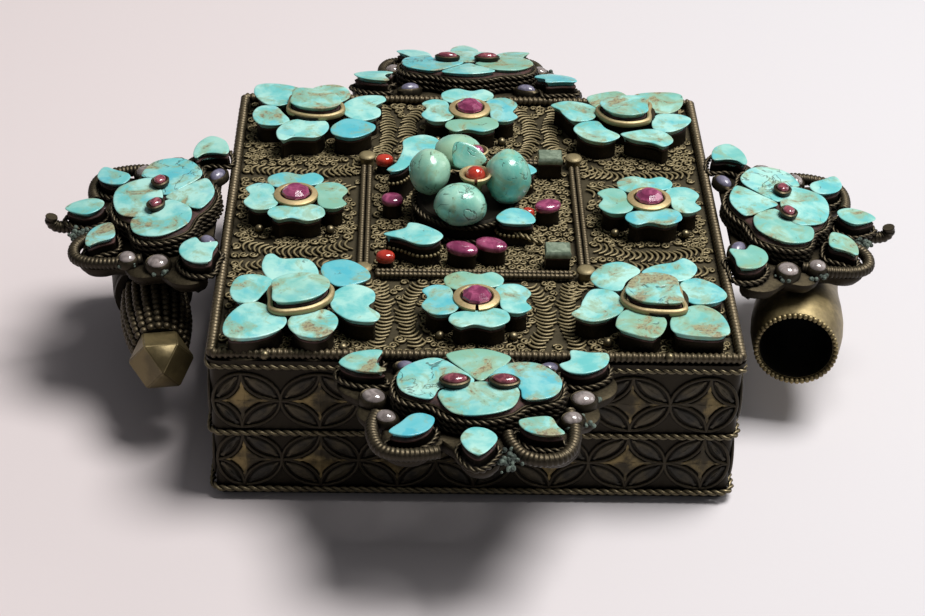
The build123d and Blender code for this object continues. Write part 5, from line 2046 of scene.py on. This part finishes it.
@dataclass
class Wing(Part):
    """A palmette wing: plate, dish of petals, set stones, ropes, wrapped loops and crust."""

    side: Side
    hand: int  # -1 swaps left and right
    greens: tuple[float, ...]  # how green the stones are, petals first
    dish_top: float = 3.4
    petal_top: float = 4.5
    lobe_top: float = 3.4
    loop: float = 1.15
    loop_wrap: float = 0.74
    loop_groove: float = 0.16
    spur: Outline = ((-27.6, -0.6), (-29.6, -0.5), (-31.0, 0.0), (-31.6, 1.0), (-31.3, 2.0))  # out and up
    cut: Cut = Cut(thick=1.3)

    def place(self, level: float = 0.0) -> Matrix:
        """The wing's own frame at a level above its plate."""
        return self.side.matrix @ Matrix.Translation((0, 0, level)) @ Matrix.Diagonal((self.hand, 1, 1, 1))

    def plate(self) -> None:
        """Thins the wing's plate towards its edge."""
        shape, node, axis = Shape(), f"{self.side.label}_wing_pan", self.side.axis
        solid = max(solids(self.bench.nodes[node], axis), key=lambda s: len(s.loop))
        girdle = Girdle(softened(solid.loop, 160, 1), axis)
        level = self.place().translation.dot(axis) - girdle.centre.dot(axis)
        section = ((3.4, -3.0), (2.3, -2.3), (1.6, -1.3), (1.4, -0.7), (1.5, -0.25), (1.9, 0.0))
        shape.loft(girdle.walls([(inset, level + lift) for inset, lift in section]))
        self.bench.cast(shape, f"{self.side.label}_wing_plate", Finish.COLLET, Slot.METAL, node)

    def stones(self) -> None:
        """Grinds the petals and the outer stones, seats them and lays twisted wire round them."""
        wing, setting = f"{self.side.label}_wing", Setting(self.cut)
        outline = [*DISH_HALF, *((-x, y) for x, y in DISH_HALF[-2:0:-1])]
        dish = Girdle.through(outline, self.place(self.dish_top), 84)
        wall = ((0.0, -self.dish_top), (0.0, -0.4), (0.08, 0.0), (0.25, 0.1), (0.4, 0.0))
        setting.collets.loft(dish.walls(wall))
        setting.mastic.loft(dish.walls(((0.4, -0.4), (0.45, 0.0), (0.8, 0.3), (1.6, 0.4))))
        ropes = [Path(dish.at(-0.4, lift), True) for lift in (-2.6, -1.5, -0.45)]
        petals, lobes = self.greens[: len(DISH_STONES)], self.greens[len(DISH_STONES) :]
        for slab, green in zip(DISH_STONES, petals):
            girdle = Girdle.through(slab.outline, self.place(self.petal_top))
            self.cut.grind(setting.stones, girdle, replace(slab, green=green).tint(girdle.centre))
        for slab, green in zip(LOBE_STONES, lobes):
            girdle = Girdle.through(slab.outline, self.place(self.lobe_top), 44)
            setting.hold(girdle, replace(slab, green=green), self.lobe_top - self.cut.thick, 0.3)
            ropes.append(Path(girdle.at(-0.5, -2.8), True))
        setting.present(
            self.bench, f"{wing}_stones", [f"{wing}_petals", f"{wing}_turquoises"], [f"{wing}_settings"]
        )
        Lay(0.56, 2.6).run(self.bench, ropes, f"{wing}_ropes", Finish.DARK_WIRE)

    def loops(self) -> None:
        """Bends the wrapped loops, and the spur of a side wing."""
        runs = [[self.place(0.4) @ Vector((x, y, 0)) for x, y in points] for points in WING_LOOPS]
        if self.side in (Side.LEFT, Side.RIGHT):
            runs.append([self.place() @ Vector((0, y, z)) for y, z in self.spur])
        paths = path_object([Path(curve(run, False)) for run in runs])
        sizes = {"Radius": self.loop * MM, "Pitch": self.loop_wrap * MM, "Depth": self.loop_groove}
        name = f"{self.side.label}_wing_loops"
        self.bench.grow(self.bench.trees.coil, paths, name, Finish.DARK_WIRE, Slot.WIRE, **sizes)

    def crust(self) -> None:
        """Leaves verdigris in the corners beside the tip and the outer crystals."""
        rng, spots, sizes = random.Random(self.side.turn + 5), [], []
        tip, corner = (4.4, -26.0, 1.6, 26), (15.6, -16.5, 1.8, 26)
        heaps = (tip, corner, (-17.6, -10.4, 1.3, 16), (18.5, -9.5, 1.2, 14))
        for x, y, spread, count in heaps:
            for _ in range(count):
                across, out = rng.gauss(0, spread * 0.6), rng.gauss(0, spread * 0.6)
                spots.append(self.place() @ Vector((x + across, y + out, rng.uniform(0.0, 0.9))))
                sizes.append(rng.uniform(0.45, 1.25))
        grain, name = self.bench.trees.grain, f"{self.side.label}_wing_crust"
        base = spot_object(spots, size=sizes)
        self.bench.grow(grain, base, name, Finish.CRUST, Slot.METAL, Radius=0.46 * MM, Level=2)

    def build(self) -> None:
        """Dresses the wing."""
        self.plate()
        self.stones()
        self.loops()
        self.crust()


@dataclass
class WingJewels(Part):
    """The small jewels of all four wings: rubies in dark cups, pearls and crystals."""

    ruby: Outline = ((-2.2, 0.1), (-0.9, 1.25), (0.9, 1.2), (2.3, -0.1), (0.9, -1.25), (-0.9, -1.2))
    ruby_top: float = 5.4
    end_shares: Pair = (0.88, 0.88)  # length and width of the front and back wings' rubies
    side_shares: Pair = (0.62, 0.8)
    widest: float = 2.1  # radius of the largest dome

    def places(self, node: str) -> list[tuple[Matrix, Vector, float]]:
        """Finds the jewels of a node.

        Args:
            node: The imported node.

        Returns:
            Wing frame, place in it and girth of each jewel.
        """
        found = []
        for solid in solids(self.bench.nodes[node], UP):
            centre = (solid.low + solid.high) / 2
            side = max(Side, key=lambda one: (one.matrix @ Vector((0, -12, 0))).dot(centre))
            girth = (solid.high.x - solid.low.x + solid.high.y - solid.low.y) / 4
            found.append((side.matrix, side.matrix.inverted() @ centre, girth))
        return found

    def domes(self, node: str, finish: Finish, slot: Slot, stretch: float) -> None:
        """Domes one node's jewels and sets them in low dark rings.

        Args:
            node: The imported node.
            finish: The jewels' finish.
            slot: Their material slot.
            stretch: A jewel's length in shares of its width.
        """
        gems, rings = Shape(), Shape()
        angles = (0.0, 0.3, 0.6, 0.9, 1.2, 1.4)
        for frame, local, girth in self.places(node):
            r = min(girth, self.widest) / stretch**0.5
            spin = Matrix.Rotation(math.copysign(0.5, local.x), 4, "Z") @ Matrix.Diagonal((stretch, 1, 1, 1))
            place = frame @ Matrix.Translation((local.x, local.y, 0.2)) @ spin
            rise = [(r * math.cos(a), 0.9 + 1.1 * math.sin(a)) for a in angles]
            gems.lathe([(0.92 * r, 0.0), *rise, (0.0, 2.0)], place, 24)
            ring = ((r + 0.5, -0.3), (r + 0.5, 0.8), (r + 0.2, 1.2), (r - 0.1, 1.0), (r - 0.1, -0.1))
            rings.lathe(ring, place, 24, loop=True)
        self.bench.cast(gems, f"{node}_domed", finish, slot, node)
        self.bench.cast(rings, f"{node}_rings", Finish.SILVER, Slot.METAL)

    def rubies(self) -> None:
        """Domes the rubies and sets them in their cups."""
        gems, cups = Shape(), Shape()
        cup = ((-0.2, -1.0), (-0.55, -0.5), (-0.6, 0.1), (-0.35, 0.25), (-0.05, 0.1), (0.1, -0.4))
        for frame, local, _ in self.places("wing_rubies"):
            at_end = abs(frame.translation.y) > abs(frame.translation.x)
            shares = self.end_shares if at_end else self.side_shares
            spin = Matrix.Rotation(math.copysign(0.1, -local.x), 4, "Z")
            place = frame @ Matrix.Translation((local.x, local.y, self.ruby_top)) @ spin
            girdle = Girdle.through(self.ruby, place @ Matrix.Diagonal((*shares, 1, 1)), 32)
            gems.loft(girdle.dome(0.85, -0.5))
            cups.loft(girdle.walls(cup))
        self.bench.cast(gems, "wing_ruby_domes", Finish.WINE, Slot.RUBY, "wing_rubies")
        self.bench.cast(cups, "wing_ruby_cups_dark", Finish.SILVER, Slot.METAL, "wing_ruby_cups")

    def build(self) -> None:
        """Dresses the wings' small jewels."""
        self.domes("wing_pearls", Finish.PEARL, Slot.PEARL, 1.5)
        self.domes("wing_crystals", Finish.CRYSTAL, Slot.CRYSTAL, 1.1)
        self.rubies()


@dataclass
class Tubes(Part):
    """The suspension tubes and the finial that stops the left one. Heights run to a tube's near end."""

    splay: float = 9.3  # degrees
    far_y: float = 18.6
    right_far: float = 19.2
    left_far: float = 17.0
    bore: float = 6.5
    wall: float = 7.2  # outer radius
    soot: float = 0.05  # thickness of the near-black liner that paints the shade in the open bore
    mouth: float = 40.4  # of the right tube
    near: float = 24.5  # end of the left tube
    tail: float = 14.5  # far end of the finial's shank
    foot: float = 25.5  # of the finial's bud
    bud: float = 17.4  # length of the bud
    girth: Outline = (  # radius of the bud at shares of its length
        (5.0, 0.0), (5.3, 0.12), (5.55, 0.3), (5.55, 0.55), (5.2, 0.75), (4.75, 0.9), (4.3, 1.0),
    )
    rows: int = 12  # of granules along the bud
    around: int = 20  # granules in a row

    def frame(self, hand: int) -> Matrix:
        """A tube's frame, Z along its axis to the near end.

        Args:
            hand: 1 for the right tube, -1 for the left one.

        Returns:
            The frame, in millimetres.
        """
        low, high = (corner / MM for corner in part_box("right_tube"))
        splay = math.radians(self.splay)
        near = Vector((-hand * math.sin(splay), -math.cos(splay), 0))
        out = EDGE + (self.right_far if hand > 0 else self.left_far)
        rotation = Matrix((UP, near.cross(UP), near)).transposed().to_4x4()
        return Matrix.Translation((hand * out, self.far_y, (low.z + high.z) / 2)) @ rotation

    def beads(
        self, hand: int, radius: float, heights: Sequence[float], kind: Finish, *nodes: str, **sizes: float
    ) -> None:
        """Lays rings of beads round a tube's ends.

        Args:
            hand: 1 for the right tube, -1 for the left one.
            radius: The rings' radius.
            heights: Where the rings lie along the tube.
            kind: The beads' finish.
            nodes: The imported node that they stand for.
            sizes: The beads' radius and spacing.
        """
        place, name = self.frame(hand), "right_tube_beads" if hand > 0 else "left_tube_beads"
        rings = path_object([Path([place @ p for p in circle(radius, 90, z)], True) for z in heights])
        self.bench.grow(self.bench.trees.bead, rings, name, kind, Slot.WIRE, *nodes, **sizes)

    def right(self) -> None:
        """Turns the open tube and beads its ends."""
        bench, place, mouth, bore = self.bench, self.frame(1), self.mouth, self.bore
        bell = ((7.45, 25.0), (8.0, 29.0), (8.3, 32.5), (8.25, 35.5), (7.9, 38.2), (7.3, mouth))
        tube, liner = Shape(), Shape()
        straight = ((self.wall, 0.0), (self.wall, 22.0))
        tube.lathe((*straight, *bell, (bore, mouth), (bore, 0.0)), place, 56, loop=True)
        bench.cast(tube, "right_tube_bell", Finish.BRASS, Slot.BRASS, "right_tube", crisp=TURNED_CREASE)
        # A near-black liner inside the bore is painted shade, deep in the open tube.
        inner = bore - self.soot
        black = ((bore, 0.3), (bore, mouth - 0.1), (inner, mouth - 0.1), (inner, 0.3))
        liner.lathe(black, place, 48, loop=True)
        bench.cast(liner, "right_tube_painted_bore_shade", Finish.SOOT, Slot.METAL)
        sizes = {"Radius": 0.52 * MM, "Spacing": 0.94 * MM}
        self.beads(1, 7.05, (mouth + 0.35, -0.5), Finish.BRASS, "right_tube_rings", **sizes)
        bench.dress(Finish.SHEET, "right_tube_saddles", "left_tube_saddles")

    def left(self) -> None:
        """Turns the stopped tube and beads its far end."""
        shape, near, bore = Shape(), self.near, self.bore
        sleeve = ((self.wall, 0.0), (self.wall, near - 0.6), (6.9, near), (bore, near), (bore, 0.0))
        shape.lathe(sleeve, self.frame(-1), 56, loop=True)
        self.bench.cast(shape, "left_tube_sleeve", Finish.SHEET, Slot.BRASS, "left_tube", crisp=TURNED_CREASE)
        sizes = {"Radius": 0.62 * MM, "Spacing": 1.08 * MM}
        self.beads(-1, 7.25, (-0.6,), Finish.WIRE, "left_tube_ring", **sizes)

    def finial(self) -> None:
        """Turns the shank and the bud's core."""
        place, near, foot, tail = self.frame(-1), self.near, self.foot, self.tail
        shank, core, cast = Shape(), Shape(), self.bench.cast
        plug = ((0.0, tail), (5.8, tail), (6.35, tail + 0.7), (6.35, near))
        collar = ((7.0, near), (7.1, near + 0.5), (7.0, foot), (0.0, foot))
        shank.lathe(plug + collar, place, 48)
        looks = {"body": Body.FINIAL, "crisp": TURNED_CREASE}
        cast(shank, "finial_shank_turned", Finish.SHEET, Slot.BRASS, "finial_shank", **looks)
        skin = [(r, foot + self.bud * share) for r, share in self.girth]
        core.lathe([(0.0, foot), *skin, (0.0, foot + self.bud)], place, 40)
        cast(core, "finial_bud_core", Finish.SHEET, Slot.BRASS, "finial_bud", body=Body.FINIAL)

    def granules(self) -> None:
        """Covers the bud with rows of granules."""
        place, spots, sizes = self.frame(-1), [], []
        steps = list(zip(self.girth, self.girth[1:]))
        for row in range(self.rows):
            share = (row + 0.6) / self.rows
            r = next(a + (b - a) * (share - s) / (t - s) for (a, s), (b, t) in steps if share <= t)
            spots += [place @ p for p in circle(r, self.around, self.foot + self.bud * share)]
            sizes += [r / 5.6] * self.around
        grains, grain = spot_object(spots, size=sizes), self.bench.trees.grain
        sizes = {"Radius": 0.86 * MM, "Level": 2}
        self.bench.grow(grain, grains, "finial_granules", Finish.ROD, Slot.BRASS, body=Body.FINIAL, **sizes)

    def knob(self) -> None:
        """Bevels the edges of the faceted knob."""
        bm = bmesh.new()
        bm.from_mesh(self.bench.nodes["finial_knob"].data)
        bmesh.ops.remove_doubles(bm, verts=bm.verts, dist=1e-6)
        bmesh.ops.dissolve_limit(bm, angle_limit=0.02, verts=bm.verts, edges=bm.edges)
        bmesh.ops.bevel(bm, geom=bm.edges, offset=0.22 * MM, segments=3, affect="EDGES", clamp_overlap=True)
        mesh = bpy.data.meshes.new("finial_knob_cut")
        bm.to_mesh(mesh)
        bm.free()
        piece = finished("finial_knob_cut", mesh, self.bench.finish(Finish.KNOB), 25.0)
        self.bench.present(piece, Body.FINIAL, Slot.BRASS, "finial_knob")

    def build(self) -> None:
        """Dresses the tubes and the finial."""
        self.right()
        self.left()
        self.finial()
        self.granules()
        self.knob()


def main() -> None:
    """Dresses the box and sets the stage round it."""
    logging.basicConfig(level=logging.INFO, format="%(message)s")
    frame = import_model()
    bench = Bench(frame["nodes"], Trees())
    parts: list[Part] = [Studio(bench), Walls(bench), Deck(bench), Rosettes(bench), Cluster(bench)]
    parts += [Wing(bench, *wing) for wing in WINGS]
    for part in (*parts, WingJewels(bench), Tubes(bench)):
        part.build()


if __name__ == "__main__":
    main()
